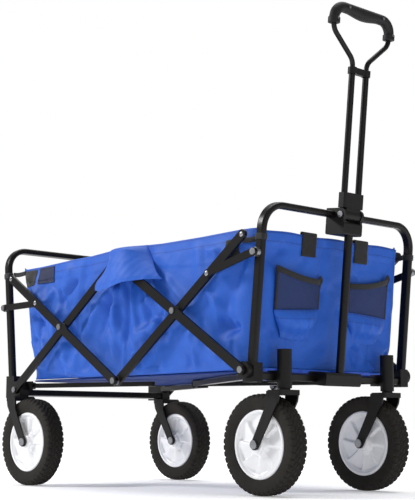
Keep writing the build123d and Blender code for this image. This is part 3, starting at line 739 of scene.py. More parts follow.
@dataclass
class SidePanels:
    """The two long side panels of the tub, pulled into folds by the cuffs and the corners."""

    face: float = 206.2
    corner: float = 26.0
    billow: float = 5.0
    flap_edge: float = 198.0
    flap_z: float = 239.0
    top_edge: tuple[tuple[float, float], ...] = (
        (-824.0, 497.0), (-734.0, 498.0), (-610.0, 503.0), (-547.0, 504.0), (-467.0, 509.0), (-402.0, 510.0),
        (-306.0, 506.0), (-187.0, 506.0), (-78.0, 508.0), (-20.0, 507.0),
    )
    low_edge: tuple[tuple[float, float], ...] = (
        (-824.0, 262.0), (-764.0, 254.0), (-630.0, 240.5), (-414.0, 238.5), (-195.0, 239.0), (-30.0, 240.5),
    )
    rear_edge: tuple[tuple[float, float], ...] = (
        (240.0, -757.0), (258.0, -764.0), (327.0, -788.0), (417.0, -803.0), (497.0, -820.0), (510.0, -822.0),
    )
    rays: tuple[tuple[float, ...], ...] = (
        (-484.0, 420.0, 232.0, 180.0, 9.0, 5.0), (-470.0, 418.0, 252.0, 165.0, 7.0, -4.0),
        (-446.0, 432.0, 266.0, 180.0, 7.0, 6.0), (-416.0, 430.0, 271.0, 185.0, 6.0, -5.0),
        (-392.0, 432.0, 276.0, 178.0, 7.0, 6.0), (-362.0, 430.0, 284.0, 170.0, 7.0, -4.5),
        (-326.0, 436.0, 296.0, 175.0, 8.0, 5.0), (-290.0, 434.0, 316.0, 190.0, 9.0, 4.2),
        (-806.0, 490.0, 316.0, 240.0, 11.0, 4.6), (-800.0, 470.0, 298.0, 215.0, 10.0, -3.4),
        (-752.0, 480.0, 288.0, 200.0, 12.0, 3.0), (-60.0, 486.0, 222.0, 230.0, 11.0, 4.4),
        (-56.0, 466.0, 243.0, 205.0, 9.0, -3.4), (-108.0, 476.0, 256.0, 200.0, 12.0, 3.4),
        (-620.0, 500.0, 250.0, 215.0, 13.0, 3.2), (-560.0, 502.0, 262.0, 190.0, 11.0, -2.6),
        (-196.0, 500.0, 279.0, 200.0, 13.0, 3.0), (-700.0, 262.0, 28.0, 200.0, 11.0, 2.8),
        (-126.0, 256.0, 152.0, 190.0, 11.0, 2.8), (-520.0, 246.0, 76.0, 130.0, 10.0, 2.6),
        (-300.0, 246.0, 100.0, 130.0, 10.0, 2.6),
    )

    def face_y(self, x: np.ndarray, z: np.ndarray) -> np.ndarray:
        """Y of the right panel's face at given x and z.

        It is the face plus billow, pulled folds, loose creases, ripples and the hem steps, turned inward
        by a quarter ellipse at both ends.
        """
        top = np.interp(x, *zip(*self.top_edge))
        low = np.interp(x, *zip(*self.low_edge))
        v = np.clip((top - z) / (top - low), 0.0, 1.0)
        rear = np.interp(z, *zip(*self.rear_edge))
        front = self.front_edge(z)
        calm = smooth((x - rear) / 40.0) * smooth((front - x) / 40.0)
        free = smooth(v / 0.10) * smooth((1.0 - v) / 0.05) * calm
        push = self.billow * np.sin(math.pi * v) ** 0.8 * calm
        push = push + (1.9 * drag_folds(x, z, self.rays) + drag_folds(x, z, SIDE_CREASES.rays())) * free
        push = push + 1.6 * ripple(x, z, 150.0, 0.7) * free
        depth = np.interp(x, (-700.0, -330.0, -200.0), (31.0, 46.0, 56.0))
        push = push + 1.2 * (1.0 - smooth((top - z - depth) / 3.0))
        push = push + 0.9 * (1.0 - smooth((z - low - 13.0) / 2.5))
        for gap in (x - rear, front - x):
            turn = np.clip(1.0 - gap / self.corner, 0.0, 1.0)
            push = push - self.corner * 0.62 * (1.0 - np.sqrt(1.0 - turn * turn))
        return -(self.face + np.clip(push, -20.0, 20.0))

    def front_edge(self, z: np.ndarray) -> np.ndarray:
        """X of the front edge at height z, on the front frame's lean."""
        return -49.5 + (z - 252.0) * 0.1087

    def sheet(self) -> np.ndarray:
        """Right panel: u runs from the rear edge to the front edge and v from the hem to the foot.

        Past the foot a narrow flap turns inward, down to the edge of the floor boards.
        """
        u, v = mesh_grid(np.linspace(0.0, 1.0, 250), np.linspace(0.0, 1.0, 86))
        rough_x = -822.0 + 800.0 * u
        top = np.interp(rough_x, *zip(*self.top_edge))
        low = np.interp(rough_x, *zip(*self.low_edge))
        z = top + (low - top) * v
        rear = np.interp(z, *zip(*self.rear_edge))
        x = rear + (self.front_edge(z) - rear) * u
        panel = stack(x, self.face_y(x, z), z)
        inward = np.linspace(0.0, 1.0, 8)[1:]
        foot = panel[:, -1:, :]
        goal = stack(foot[..., 0], foot[..., 1] * 0.0 - self.flap_edge, foot[..., 2] * 0.0 + self.flap_z)
        flap = foot + (goal - foot) * inward[None, :, None]
        return np.concatenate([panel, flap], axis=1)

    def build(self, wardrobe: Wardrobe) -> bpy.types.Object:
        """Builds both panels as one piece on the front frame."""
        cloth = Patchwork().add_pair(self.sheet())
        piece = cloth.piece("side_panels", wardrobe.get("blue_cloth"), "blue_cloth", solid=1.1)
        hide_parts("tub_sides")
        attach(piece, "front_frame")
        return piece


# Pulled folds of the end panels: start Y, start Z, heading, length, half width and height.
FRONT_RAYS = (
    (-196.0, 490.0, 300.0, 180.0, 10.0, -4.0), (196.0, 490.0, 240.0, 180.0, 10.0, -4.0),
    (-30.0, 500.0, 262.0, 220.0, 9.0, -3.4), (24.0, 500.0, 276.0, 220.0, 9.0, 2.0),
    (-190.0, 300.0, 20.0, 160.0, 10.0, -3.0), (190.0, 300.0, 160.0, 160.0, 10.0, -3.0),
    (-110.0, 296.0, 268.0, 60.0, 10.0, -2.4), (104.0, 296.0, 272.0, 60.0, 10.0, -2.4),
)
REAR_RAYS = (
    (-190.0, 480.0, 304.0, 220.0, 12.0, -5.0), (190.0, 480.0, 236.0, 220.0, 12.0, -5.0),
    (-60.0, 500.0, 266.0, 230.0, 12.0, -4.0), (70.0, 500.0, 276.0, 230.0, 12.0, 2.0),
)


@dataclass
class EndPanel:
    """A cloth end panel between two legs, its sides rolled back into the corners."""

    end: End
    name: str
    node: str
    profile: tuple[tuple[float, float], ...]
    half: float = 203.0
    hem: float = 505.0
    foot: float = 241.0
    roll: float = 24.0
    give: float = 10.0
    bulge: float = 2.4
    rays: tuple[tuple[float, ...], ...] = ()

    def sheet(self) -> np.ndarray:
        """Panel: u runs across from right to left and v down from the hem to the foot.

        x follows the profile over z, plus folds and ripples; near the sides it rolls back inward.
        """
        u, v = mesh_grid(np.linspace(-1.0, 1.0, 130), np.linspace(0.0, 1.0, 70))
        y = self.half * u
        high = self.hem - 2.5 * np.sin(math.pi * np.abs(u) * 1.5) ** 2
        z = high + (self.foot - high) * v
        out = 1.0 if self.end is End.FRONT else -1.0
        x = np.interp(z, *zip(*self.profile))
        free = smooth(v / 0.08) * smooth((1.0 - v) / 0.06)
        push = drag_folds(y, z, [*self.rays, *END_CREASES.rays()]) * free
        push = push + 0.9 * ripple(y, z, 120.0, 1.9) * smooth(v / 0.1)
        push = np.clip(push, -self.give, self.bulge)
        push = push + 0.9 * (1.0 - smooth((v - 0.10) / 0.012)) + 0.8 * smooth((v - 0.945) / 0.01)
        turn = np.clip((np.abs(y) - (self.half - self.roll)) / self.roll, 0.0, 1.0)
        push = push - self.roll * 0.55 * (1.0 - np.sqrt(1.0 - turn * turn))
        return leaned(stack(x + out * push, y, z), self.end)

    def build(self, wardrobe: Wardrobe) -> bpy.types.Object:
        """Builds the panel on its end frame."""
        cloth = Patchwork().add(self.sheet(), turn=self.end is End.REAR)
        piece = cloth.piece(self.name, wardrobe.get("blue_cloth"), "blue_cloth", solid=1.1)
        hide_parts(self.node)
        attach(piece, self.end.value)
        return piece


@dataclass
class PivotCuffs:
    """Cloth cuffs that hang over the middle top pivots of the side scissors."""

    root: float = 207.0
    face: float = 250.8
    flare: float = 11.0
    hem: float = 508.0
    bar_top: float = 497.0
    crossing: float = 0.36

    def sheet(self) -> np.ndarray:
        """Right cuff: u runs from its rear edge to its front edge and v from the hem to its low edge.

        The first third crosses the bars in a quarter ellipse; the rest hangs and flares like a tent.
        Toward both sides of the crossing the cloth sinks, so the top has no corners.
        """
        u, v = mesh_grid(np.linspace(0.0, 1.0, 90), np.linspace(0.0, 1.0, 70))
        cross = np.clip(v / self.crossing, 0.0, 1.0) * math.pi / 2.0
        hang = np.clip((v - self.crossing) / (1.0 - self.crossing), 0.0, 1.0)
        side = np.abs(2.0 * u - 1.0)
        low = np.interp(u, (0.0, 0.1, 0.3, 0.55, 0.85, 1.0), (420.0, 416.0, 419.0, 427.0, 430.0, 428.0))
        apex = self.bar_top - 9.0 * side**2.2
        z = self.hem - (self.hem - apex) * (1.0 - np.cos(cross)) + (low - apex) * hang
        left = -466.0 - 2.0 * v - 16.0 * v**2
        right = -356.0 + 2.0 * v + 70.0 * v**1.6
        x = left + (right - left) * u
        edge = np.where(u > 0.5, 0.55, 0.12)
        sink = side**2.6 * (0.96 - (0.96 - edge) * smooth(hang / 0.9))
        reach = (self.face - self.root) * np.sin(cross) + self.flare * smooth(hang) * (1.0 - side**2)
        reach = reach * (1.0 - sink)
        folds = 1.8 * np.sin(2.0 * math.pi * (1.6 * u + 0.35 * v + 0.1)) + 0.9 * ripple(x, z, 46.0, 1.3)
        curl = 1.5 * smooth((hang - 0.86) / 0.14)
        return stack(x, -(self.root + reach + (1.2 + folds * 0.8) * smooth(hang / 0.4) - curl), z)

    def build(self, wardrobe: Wardrobe) -> bpy.types.Object:
        """Builds both cuffs as one piece."""
        cloth = Patchwork().add_pair(self.sheet())
        piece = cloth.piece("pivot_cuffs", wardrobe.get("blue_cloth"), "blue_cloth", solid=1.0)
        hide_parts("joint_covers")
        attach(piece, "front_frame")
        return piece


@dataclass
class FrontPockets:
    """Two net pockets on the front panel, each with a black binding, a tab and a gathered cloth foot."""

    near: float = 42.0
    far: float = 165.0
    face: float = -42.6
    mouth: tuple[float, float] = (418.0, 437.0)
    seam: tuple[float, float] = (361.0, 353.0)
    foot: float = 301.0

    def stand_off(self, u: np.ndarray) -> np.ndarray:
        """How far the pocket stands off the panel across its width: zero at both sewn edges."""
        return np.sin(math.pi * np.clip(u, 0.0, 1.0)) ** 0.55

    def width(self, u: np.ndarray, side: Side) -> np.ndarray:
        """Y of the share u across a pocket, from its inner to its outer edge."""
        return side.value * (self.near + (self.far - self.near) * u)

    def net(self, side: Side) -> np.ndarray:
        """Net face: from the slanting mouth down to the seam, bowing out and sagging at the mouth."""
        u, v = mesh_grid(np.linspace(0.0, 1.0, 56), np.linspace(0.0, 1.0, 34))
        top = self.mouth[0] + (self.mouth[1] - self.mouth[0]) * u - 5.0 * np.sin(math.pi * u)
        low = self.seam[0] + (self.seam[1] - self.seam[0]) * u
        z = top + (low - top) * v
        bow = self.stand_off(u) * (9.0 + 2.0 * np.sin(math.pi * v)) + 0.5 * ripple(u * 120.0, z, 60.0, 0.4)
        return leaned(stack(self.face + 0.6 + bow, self.width(u, side), z), End.FRONT)

    def gusset(self, side: Side) -> np.ndarray:
        """Cloth foot: from the seam down to the sewn bottom, gathered into small upright pleats."""
        u, v = mesh_grid(np.linspace(0.0, 1.0, 110), np.linspace(0.0, 1.0, 30))
        top = self.seam[0] + (self.seam[1] - self.seam[0]) * u
        z = top + (self.foot - top) * v
        pleat = 2.6 * np.sin(2.0 * math.pi * (4.6 * u + 0.3 * np.sin(5.0 * u) + 0.25 * v)) * smooth(v * 1.8)
        pleat = pleat + 0.8 * ripple(u * 120.0, z, 34.0, 2.2)
        bow = self.stand_off(u) * (11.0 + 13.0 * np.sin(math.pi * np.clip(v * 1.25, 0.0, 1.0)))
        bow = bow * (1.0 - smooth((v - 0.55) / 0.45)) + self.stand_off(u) * (1.0 + pleat * (1.0 - 0.5 * v))
        pinch = 0.5 + (u - 0.5) * (1.0 - 0.36 * smooth(v * 1.05))
        sag = 4.0 * np.sin(math.pi * u) * v
        return leaned(stack(self.face + 0.4 + bow, self.width(pinch, side), z - sag), End.FRONT)

    def binding(self, side: Side) -> np.ndarray:
        """Black tape over the mouth, 11 mm deep, following the net's top edge."""
        u, v = mesh_grid(np.linspace(-0.015, 1.015, 56), np.linspace(0.0, 1.0, 7))
        sag = 5.0 * np.sin(math.pi * np.clip(u, 0.0, 1.0))
        top = self.mouth[0] + (self.mouth[1] - self.mouth[0]) * u - sag + 1.5
        bow = self.stand_off(u) * 9.6 + 1.6 + 0.6 * np.sin(math.pi * v)
        return leaned(stack(self.face + 0.6 + bow, self.width(u, side), top - 11.0 * v), End.FRONT)

    def edging(self, side: Side, share: float) -> np.ndarray:
        """Narrow tape down one side of the net, from the mouth to the seam."""
        u, v = mesh_grid(np.linspace(-2.4, 2.4, 5), np.linspace(0.0, 1.0, 20))
        top = self.mouth[0] + (self.mouth[1] - self.mouth[0]) * share
        low = self.seam[0] + (self.seam[1] - self.seam[0]) * share
        y = self.width(share, side) + u
        return leaned(stack(self.face + 3.2 + 0.5 * np.sin(math.pi * v), y, top + (low - top) * v), End.FRONT)

    def tab(self, side: Side) -> np.ndarray:
        """Small black tab where the binding meets the panel at its left end."""
        u, v = mesh_grid(np.linspace(-1.0, 1.0, 7), np.linspace(0.0, 1.0, 12))
        half = 1.5 + 5.0 * np.sin(math.pi * np.minimum(v * 1.5, 1.0))
        y = (-self.near if side is Side.RIGHT else self.far) + half * u
        z = (self.mouth[0] if side is Side.RIGHT else self.mouth[1]) + 9.0 - 26.0 * v
        return leaned(stack(self.face + 3.4 + 0.8 * np.sin(math.pi * v), y, z), End.FRONT)

    def build(self, wardrobe: Wardrobe) -> list[bpy.types.Object]:
        """Builds nets, feet and tapes, each kind as one piece for both pockets."""
        net, gusset, tape = Patchwork(), Patchwork(), Patchwork()
        for side in Side:
            turn = side is Side.RIGHT
            net.add(self.net(side), turn=turn)
            gusset.add(self.gusset(side), turn=turn)
            tape.add(self.binding(side), turn=turn)
            tape.add(self.tab(side))
            tape.add(self.edging(side, 0.02)).add(self.edging(side, 0.98))
        made = [
            net.piece("pocket_nets", wardrobe.get("mesh_cloth"), "mesh_cloth", solid=0.6),
            gusset.piece("pocket_feet", wardrobe.get("blue_cloth"), "blue_cloth", solid=0.8),
            tape.piece("pocket_bindings", wardrobe.get("black_webbing"), "black_webbing", solid=1.0),
        ]
        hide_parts("front_pockets")
        for piece in made:
            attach(piece, "front_frame")
        return made


@dataclass
class Straps:
    """Webbing: two straps over the front hem and patches with loops at the four corners."""

    panel: SidePanels
    face: float = -43.2
    strap_y: float = 78.0
    strap_half: float = 20.5
    hem: float = 506.5

    def over_hem(self) -> np.ndarray:
        """Right strap: a flat tape carried up the panel's face, over its hem and down inside.

        The path is two straight runs joined by a half circle; u runs along it and v across the tape.
        """
        up = np.linspace(462.0, self.hem, 22)
        turn = np.linspace(0.0, math.pi, 10)[1:-1]
        down = np.linspace(self.hem, 470.0, 14)
        middle, reach = self.face - 1.3, 2.7
        over = middle + reach * np.cos(turn)
        x = np.concatenate([up * 0 + middle + reach, over, down * 0 + middle - reach])
        z = np.concatenate([up, self.hem + reach * np.sin(turn), down])
        v = np.linspace(-1.0, 1.0, 12)
        along = np.arange(len(x))
        row, column = mesh_grid(along, v)
        y = -self.strap_y + self.strap_half * column
        wave = 0.35 * np.sin(row * 0.5 + column) * (row < 20)
        crown = 0.5 * (1.0 - column**2) * (row < 21)
        return leaned(stack(x[:, None] + wave + crown, y, z[:, None]), End.FRONT)

    def patch(self, low: tuple[float, float], high: tuple[float, float]) -> np.ndarray:
        """Patch on the right side panel: a rectangle with softened corners, slightly puckered."""
        u, v = mesh_grid(np.linspace(-1.0, 1.0, 22), np.linspace(-1.0, 1.0, 20))
        pinch = 1.0 - 0.05 * (np.abs(u) ** 6) * (np.abs(v) ** 6)
        x = (low[0] + high[0]) / 2.0 + (high[0] - low[0]) / 2.0 * u * pinch
        z = (low[1] + high[1]) / 2.0 + (high[1] - low[1]) / 2.0 * v * pinch
        lift = 1.9 + 0.6 * (1.0 - u**4) * (1.0 - v**4)
        return stack(x, self.panel.face_y(x, z) - lift, z)

    def tether(self, start: float, stop: float, z: float) -> np.ndarray:
        """Narrow tape from a patch to the leg beside it, sagging a little between them."""
        u, v = mesh_grid(np.linspace(0.0, 1.0, 20), np.linspace(-5.2, 5.2, 7))
        x = start + (stop - start) * u
        sewn = self.panel.face_y(np.array(start), np.array(z)) - 3.0
        y = sewn + (-212.4 - sewn) * u - 0.6 * np.sin(math.pi * u)
        return stack(x, y, z + v - 2.0 * np.sin(math.pi * u))

    def loop(self, leg_x: float, z: float, end: End) -> np.ndarray:
        """Band round a leg: a rounded rectangle |a|^3.4 + |b|^3.4 = 1 carried upward by its width."""
        turn, v = mesh_grid(np.linspace(0.0, 2.0 * math.pi, 56, endpoint=False), np.linspace(-6.0, 6.0, 8))
        cos_t, sin_t = np.cos(turn), np.sin(turn)
        size = (np.abs(cos_t) ** 3.4 + np.abs(sin_t) ** 3.4) ** (-1.0 / 3.4)
        swell = 0.5 * np.cos(v / 6.0 * math.pi / 2.0)
        x = leg_x + (11.3 + swell) * size * cos_t
        y = -220.0 + (7.9 + swell) * size * sin_t
        return leaned(stack(x, y, z + v), end)

    def build(self, wardrobe: Wardrobe) -> list[bpy.types.Object]:
        """Builds the hem straps, the front corner webbing and the rear corner webbing."""
        web = wardrobe.get("black_webbing")
        hem = Patchwork().add_pair(self.over_hem()).piece("hem_straps", web, "black_webbing", solid=1.2)
        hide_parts("front_straps")
        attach(hem, "front_frame")
        front = Patchwork().add_pair(self.patch((-112.0, 452.0), (-70.0, 491.0)))
        front.add_pair(self.tether(-72.0, -15.0, 486.0))
        front.add_pair(self.loop(FRONT_LEG_X, 488.0, End.FRONT), round_u=True)
        front_piece = front.piece("front_corner_webbing", web, "black_webbing", solid=1.0)
        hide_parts("corner_straps_front")
        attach(front_piece, "front_frame")
        rear = Patchwork().add_pair(self.patch((-801.0, 455.0), (-751.0, 493.0)))
        rear.add_pair(self.tether(-799.0, -845.0, 489.0))
        rear.add_pair(self.loop(-826.5, 490.0, End.REAR), round_u=True)
        rear_piece = rear.piece("rear_corner_webbing", web, "black_webbing", solid=1.0)
        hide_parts("corner_straps_rear")
        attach(rear_piece, "rear_frame")
        return [hem, front_piece, rear_piece]


@dataclass
class SewnLabel:
    """A small plain woven label near the rear top corner, with a raised border."""

    panel: SidePanels
    low: tuple[float, float] = (-740.0, 458.0)
    high: tuple[float, float] = (-684.0, 495.0)

    def sheet(self) -> np.ndarray:
        """Label: a rectangle standing just off the side panel, thicker in a 3 mm border."""
        u, v = mesh_grid(np.linspace(0.0, 1.0, 40), np.linspace(0.0, 1.0, 30))
        x = self.low[0] + (self.high[0] - self.low[0]) * u
        z = self.low[1] + (self.high[1] - self.low[1]) * v
        across = np.minimum(x - self.low[0], self.high[0] - x)
        rim = np.minimum(across, np.minimum(z - self.low[1], self.high[1] - z))
        lift = 2.0 + 0.8 * (1.0 - smooth((rim - 2.2) / 1.2))
        return stack(x, self.panel.face_y(x, z) - lift, z)

    def build(self, wardrobe: Wardrobe) -> bpy.types.Object:
        """Builds the label on the front frame."""
        cloth = Patchwork().add(self.sheet())
        piece = cloth.piece("sewn_label", wardrobe.get("label_cloth"), "label_cloth", solid=0.8)
        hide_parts("label_patch")
        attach(piece, "front_frame")
        return piece


@dataclass
class FloorBoards:
    """Three cloth-covered boards: closed flat forms with rounded edges and a stitched outline."""

    top: float = 237.5
    thick: float = 4.0
    half: float = 203.0

    def cover(self, rear: float, front: float) -> np.ndarray:
        """One board: u runs round its edge outline and v from the middle of the top to that of the foot.

        The outline shrinks toward both middles, so the form is closed; the top is slightly crowned and
        has a shallow groove 9 mm from its edge.
        """
        turn, v = mesh_grid(np.linspace(0.0, 2.0 * math.pi, 240, endpoint=False), np.linspace(0.0, 1.0, 40))
        cos_t, sin_t = np.cos(turn), np.sin(turn)
        size = np.maximum(np.abs(cos_t), np.abs(sin_t)) ** -1.0
        share = np.clip(np.minimum(v, 1.0 - v) / 0.47, 0.0, 1.0)
        half_x, half_y = (front - rear) / 2.0, self.half
        a, b = share * size * cos_t * half_x, share * size * sin_t * half_y
        inset = np.minimum(half_x - np.abs(a), half_y - np.abs(b))
        groove = 0.5 * np.exp(-(((inset - 9.0) / 2.2) ** 2))
        edge = self.thick / 2.0 * np.sqrt(1.0 - np.clip(1.0 - inset / 3.0, 0.0, 1.0) ** 2)
        upper = v < 0.5
        height = np.where(upper, edge - groove, -edge)
        return stack((rear + front) / 2.0 + a, b, self.top - self.thick / 2.0 + height)

    def build(self, wardrobe: Wardrobe) -> None:
        """Builds the three boards on their own bodies."""
        spans = (("front", -349.95, -72.0), ("centre", -487.95, -350.05), ("rear", -766.0, -488.05))
        for place, rear, front in spans:
            cloth = Patchwork().add(self.cover(rear, front), round_u=True)
            piece = cloth.piece(f"covered_board_{place}", wardrobe.get("floor_cloth"), "floor_cloth")
            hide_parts(f"floor_board_{place}")
            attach(piece, f"floor_{place}")


@dataclass
class RivetHeads:
    """Domed rivet heads where the links meet the bars and at the bars' upper ends."""

    radius: float = 5.6
    rise: float = 2.4

    def dome(self, x: float, z: float, face: float) -> np.ndarray:
        """Closed dome on the right side: a half ellipse turned about Y, its flat back on the bar's face."""
        turn, v = mesh_grid(np.linspace(0.0, 2.0 * math.pi, 28, endpoint=False), np.linspace(0.0, 1.0, 12))
        lift = np.clip(v / 0.8, 0.0, 1.0) * math.pi / 2.0
        r = np.where(v < 0.8, self.radius * np.cos(math.pi / 2.0 - lift), self.radius * (1.0 - v) / 0.2)
        height = np.where(v < 0.8, self.rise * np.cos(lift), 0.0)
        return stack(x + r * np.cos(turn), -(face + height), z + r * np.sin(turn))

    def build(self, wardrobe: Wardrobe) -> None:
        """Builds the heads of each bar as one piece on that bar."""
        spots = {
            "bars_c": ((-44.7, 493.1, 235.2), (-138.36, 426.36, 239.4)),
            "bars_a": ((-807.2, 473.2, 246.2), (-706.9, 409.28, 246.2)),
        }
        for body, heads in spots.items():
            gathered = Patchwork()
            for x, z, face in heads:
                gathered.add_pair(self.dome(x, z, face), round_u=True)
            piece = gathered.piece(f"rivet_heads_{body}", wardrobe.get("rivet_steel"), "rivet_steel")
            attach(piece, body)


# ---- handle grip -------------------------------------------------------------------------------


@dataclass
class Grip:
    """The handle's grip moulding: a ribbed tube round the loop's top with a palm swell."""

    x: float = -9.0
    half: float = 84.0
    top: float = 961.0
    bend: float = 26.0
    foot: float = 923.0
    radius: float = 10.3
    bore: float = 5.35
    palm_swell: float = 5.2
    turns: int = 44

    def path(self) -> np.ndarray:
        """Path up one leg, round a bend, across and down: straight runs joined by quarter circles."""
        rise = np.linspace(self.foot, self.top - self.bend, 14)[:-1]
        turn = np.linspace(math.pi, math.pi / 2.0, 22)[:-1]
        across = np.linspace(-(self.half - self.bend), 0.0, 60)
        bend_y = -(self.half - self.bend) + self.bend * np.cos(turn)
        bend_z = self.top - self.bend + self.bend * np.sin(turn)
        y = np.concatenate([rise * 0 - self.half, bend_y, across])
        z = np.concatenate([rise, bend_z, across * 0 + self.top])
        y, z = np.concatenate([y, -y[-2::-1]]), np.concatenate([z, z[-2::-1]])
        return stack(y * 0 + self.x, y, z)

    def build(self, wardrobe: Wardrobe) -> bpy.types.Object:
        """Builds the grip: collars at its ends, fine rings along it and a swell under its middle."""
        path = self.path()
        length = running_length(path)
        to_end = np.minimum(length, length[-1] - length)
        ends = smooth(to_end / 1.5)
        collar = 1.9 * (1.0 - smooth((to_end - 12.0) / 1.5))
        rings = 0.45 * np.abs(np.sin(length * math.pi / 5.0)) * smooth((to_end - 20.0) / 4.0)
        angle = np.linspace(0.0, 2.0 * math.pi, self.turns, endpoint=False)
        # With +X as the side, the in-plane normal points up along the top, so cos t = -1 is underneath.
        under = np.clip(-np.cos(angle), 0.0, 1.0) ** 1.3
        swell = self.palm_swell * np.cos(np.clip(path[:, 1] / 46.0, -1.0, 1.0) * math.pi / 2.0) ** 1.4
        radius = self.bore + (self.radius + collar + rings - self.bore)[:, None] * ends[:, None]
        radius = np.broadcast_to(radius, (len(path), self.turns)) + swell[:, None] * under
        side = np.array([1.0, 0.0, 0.0])
        tube = tube_along(path, side, radius, self.turns)
        bore = tube_along(path, side, np.full((len(path), self.turns), self.bore), self.turns)
        shape = leaned(np.concatenate([bore[:1], tube, bore[::-1][:-1]]), End.FRONT)
        piece = Patchwork().add(shape, round_u=True, round_v=True)
        piece = piece.piece("ribbed_grip", wardrobe.get("grip_plastic"), "grip_plastic")
        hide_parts("handle_grip")
        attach(piece, "handle_loop")
        return piece


# ---- studio ------------------------------------------------------------------------------------


PALE_PAPER = Finish(
    "pale_paper", "#f7f7f8", "#f3f3f5", 0.9, grain_mm=6.0, grain_depth_mm=0.02, mottle_mm=800.0
)


@dataclass(frozen=True)
class Lamp:
    """A square soft lamp: where it stands in metres, its side in metres and its power in watts."""

    name: str
    place: tuple[float, float, float]
    size: float
    power: float

    def build(self, aim: tuple[float, float, float]) -> None:
        """Adds the lamp, pointing at a spot."""
        data = bpy.data.lights.new(self.name, "AREA")
        data.size, data.energy = self.size, self.power
        lamp = bpy.data.objects.new(self.name, data)
        bpy.context.scene.collection.objects.link(lamp)
        lamp.location = Vector(self.place)
        lamp.rotation_mode = "QUATERNION"
        lamp.rotation_quaternion = (Vector(aim) - Vector(self.place)).to_track_quat("-Z", "Y")


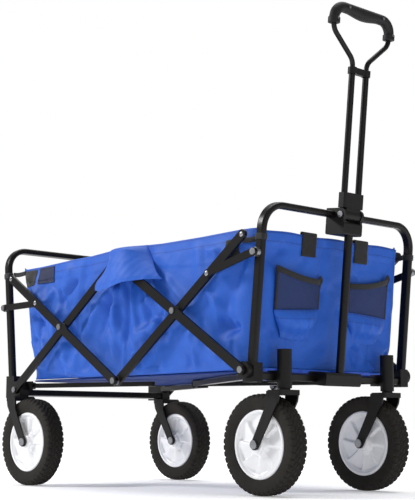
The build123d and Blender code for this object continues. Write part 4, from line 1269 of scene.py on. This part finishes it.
@dataclass
class Studio:
    """Pale floor, soft lights and the camera."""

    eye: tuple[float, float, float] = (2.0111, -1.8486, 0.1300)
    heading: float = 2.39427
    rise: float = 0.14222
    lens: float = 88.8
    shift: tuple[float, float] = (-0.0092, 0.0012)
    room_light: float = 0.34
    floor_glow: float = 0.26
    aim: tuple[float, float, float] = (0.0, 0.0, 0.35)
    lamps: tuple[Lamp, ...] = (
        Lamp("key", (-2.3, -2.4, 2.5), 0.7, 88.0),
        Lamp("front", (3.6, -0.6, 1.4), 1.6, 6.0),
    )
    sky_strength: float = 2.1
    sky_width: float = 55.0
    sky_tilt: tuple[float, float] = (-16.0, -8.0)

    def camera(self) -> None:
        """Sets the camera from its heading h and rise r: it looks along (cos r cos h, cos r sin h, sin r)."""
        data = bpy.data.cameras.new("view")
        data.lens, data.sensor_width = self.lens, 36.0
        data.shift_x, data.shift_y = self.shift
        data.clip_start, data.clip_end = 0.05, 200.0
        camera = bpy.data.objects.new("view", data)
        bpy.context.scene.collection.objects.link(camera)
        level = math.cos(self.rise)
        ahead = Vector(
            (level * math.cos(self.heading), level * math.sin(self.heading), math.sin(self.rise))
        )
        right = ahead.cross(Vector((0.0, 0.0, 1.0))).normalized()
        up = right.cross(ahead)
        turn = Matrix((right, up, -ahead)).transposed().to_4x4()
        camera.matrix_world = Matrix.Translation(Vector(self.eye)) @ turn
        bpy.context.scene.camera = camera

    def floor(self) -> None:
        """Lays a wide round floor, a disc of rings about the origin."""
        turns, rings, wide = 96, 40, 60.0
        spoke = np.linspace(0.0, wide, rings) ** 2 / wide
        turn, r = mesh_grid(np.linspace(0.0, 2.0 * math.pi, turns, endpoint=False), spoke)
        points = stack(r * np.cos(turn), r * np.sin(turn), r * 0.0 - 0.4 * MM).reshape(-1, 3)
        index = np.arange(turns * rings).reshape(turns, rings)
        index = np.vstack([index, index[:1]])
        quads = np.stack([index[:-1, :-1], index[:-1, 1:], index[1:, 1:], index[1:, :-1]], axis=-1)
        mesh = bpy.data.meshes.new("pale_floor")
        mesh.from_pydata(points.tolist(), [], quads.reshape(-1, 4).tolist())
        point_outward(mesh)
        paper = PALE_PAPER.build()
        shader = paper.node_tree.nodes["Principled BSDF"]
        shader.inputs["Emission Color"].default_value = (1.0, 1.0, 1.0, 1.0)
        shader.inputs["Emission Strength"].default_value = self.floor_glow
        mesh.materials.append(paper)
        floor = bpy.data.objects.new("pale_floor", mesh)
        bpy.context.scene.collection.objects.link(floor)
        if mesh.polygons[0].normal.z < 0.0:
            mesh.flip_normals()

    def sky(self) -> None:
        """Adds a sun so wide that it casts only soft shadows, tilted a little off the vertical."""
        data = bpy.data.lights.new("sky", "SUN")
        data.energy, data.angle = self.sky_strength, math.radians(self.sky_width)
        overhead = bpy.data.objects.new("sky", data)
        bpy.context.scene.collection.objects.link(overhead)
        overhead.rotation_euler = (math.radians(self.sky_tilt[0]), math.radians(self.sky_tilt[1]), 0.0)

    def build(self) -> None:
        """Sets the floor, the pale surroundings, three soft lights and the camera."""
        self.floor()
        world = bpy.data.worlds.new("pale_room")
        world.use_nodes = True
        tree = world.node_tree
        # The backdrop stays white while the room lights the wagon gently.
        seen = add_node(tree, "ShaderNodeLightPath").outputs["Is Camera Ray"]
        glow = add_node(tree, "ShaderNodeMapRange", {"Value": seen, "To Min": self.room_light, "To Max": 1.0})
        tree.links.new(glow.outputs[0], tree.nodes["Background"].inputs["Strength"])
        tree.nodes["Background"].inputs["Color"].default_value = (1.0, 1.0, 1.0, 1.0)
        bpy.context.scene.world = world
        bpy.context.scene.view_settings.view_transform = "Standard"
        for lamp in self.lamps:
            lamp.build(self.aim)
        self.sky()
        self.camera()


# ---- wagon -------------------------------------------------------------------------------------


def main() -> None:
    """Loads the frame, dresses it, builds each soft and detailed piece and sets the studio."""
    logging.basicConfig(level=logging.INFO, format="%(name)s: %(message)s")
    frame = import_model()
    wardrobe = Wardrobe()
    wardrobe.dress_frame(frame)
    Studio().build()
    Wheels().build(wardrobe)
    panel = SidePanels()
    sides = panel.build(wardrobe)
    front_profile = ((240.0, -44.6), (300.0, -44.2), (505.0, -44.6))
    EndPanel(End.FRONT, "front_panel", "tub_front_panel", front_profile, rays=FRONT_RAYS).build(wardrobe)
    rear_profile = ((240.0, -752.0), (258.0, -759.0), (327.0, -778.0), (417.0, -784.0), (505.0, -793.0))
    EndPanel(End.REAR, "rear_panel", "tub_rear_panel", rear_profile, give=3.0, rays=REAR_RAYS).build(wardrobe)
    cuffs = PivotCuffs().build(wardrobe)
    FrontPockets().build(wardrobe)
    _, front_web, rear_web = Straps(panel).build(wardrobe)
    label = SewnLabel(panel).build(wardrobe)
    FloorBoards().build(wardrobe)
    RivetHeads().build(wardrobe)
    Grip().build(wardrobe)
    # Each row: the piece, the X that stays put in datum millimetres and the share of its length left.
    for soft, fixed_x, keep in (
        (sides, FRONT_HEM_X, 0.14),
        (cuffs, FRONT_HEM_X, 0.24),
        (label, FRONT_HEM_X, 0.14),
        (front_web, FRONT_LEG_X, 0.3),
        (rear_web, REAR_LEG_X, 0.3),
    ):
        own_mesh(soft)


if __name__ == "__main__":
    main()
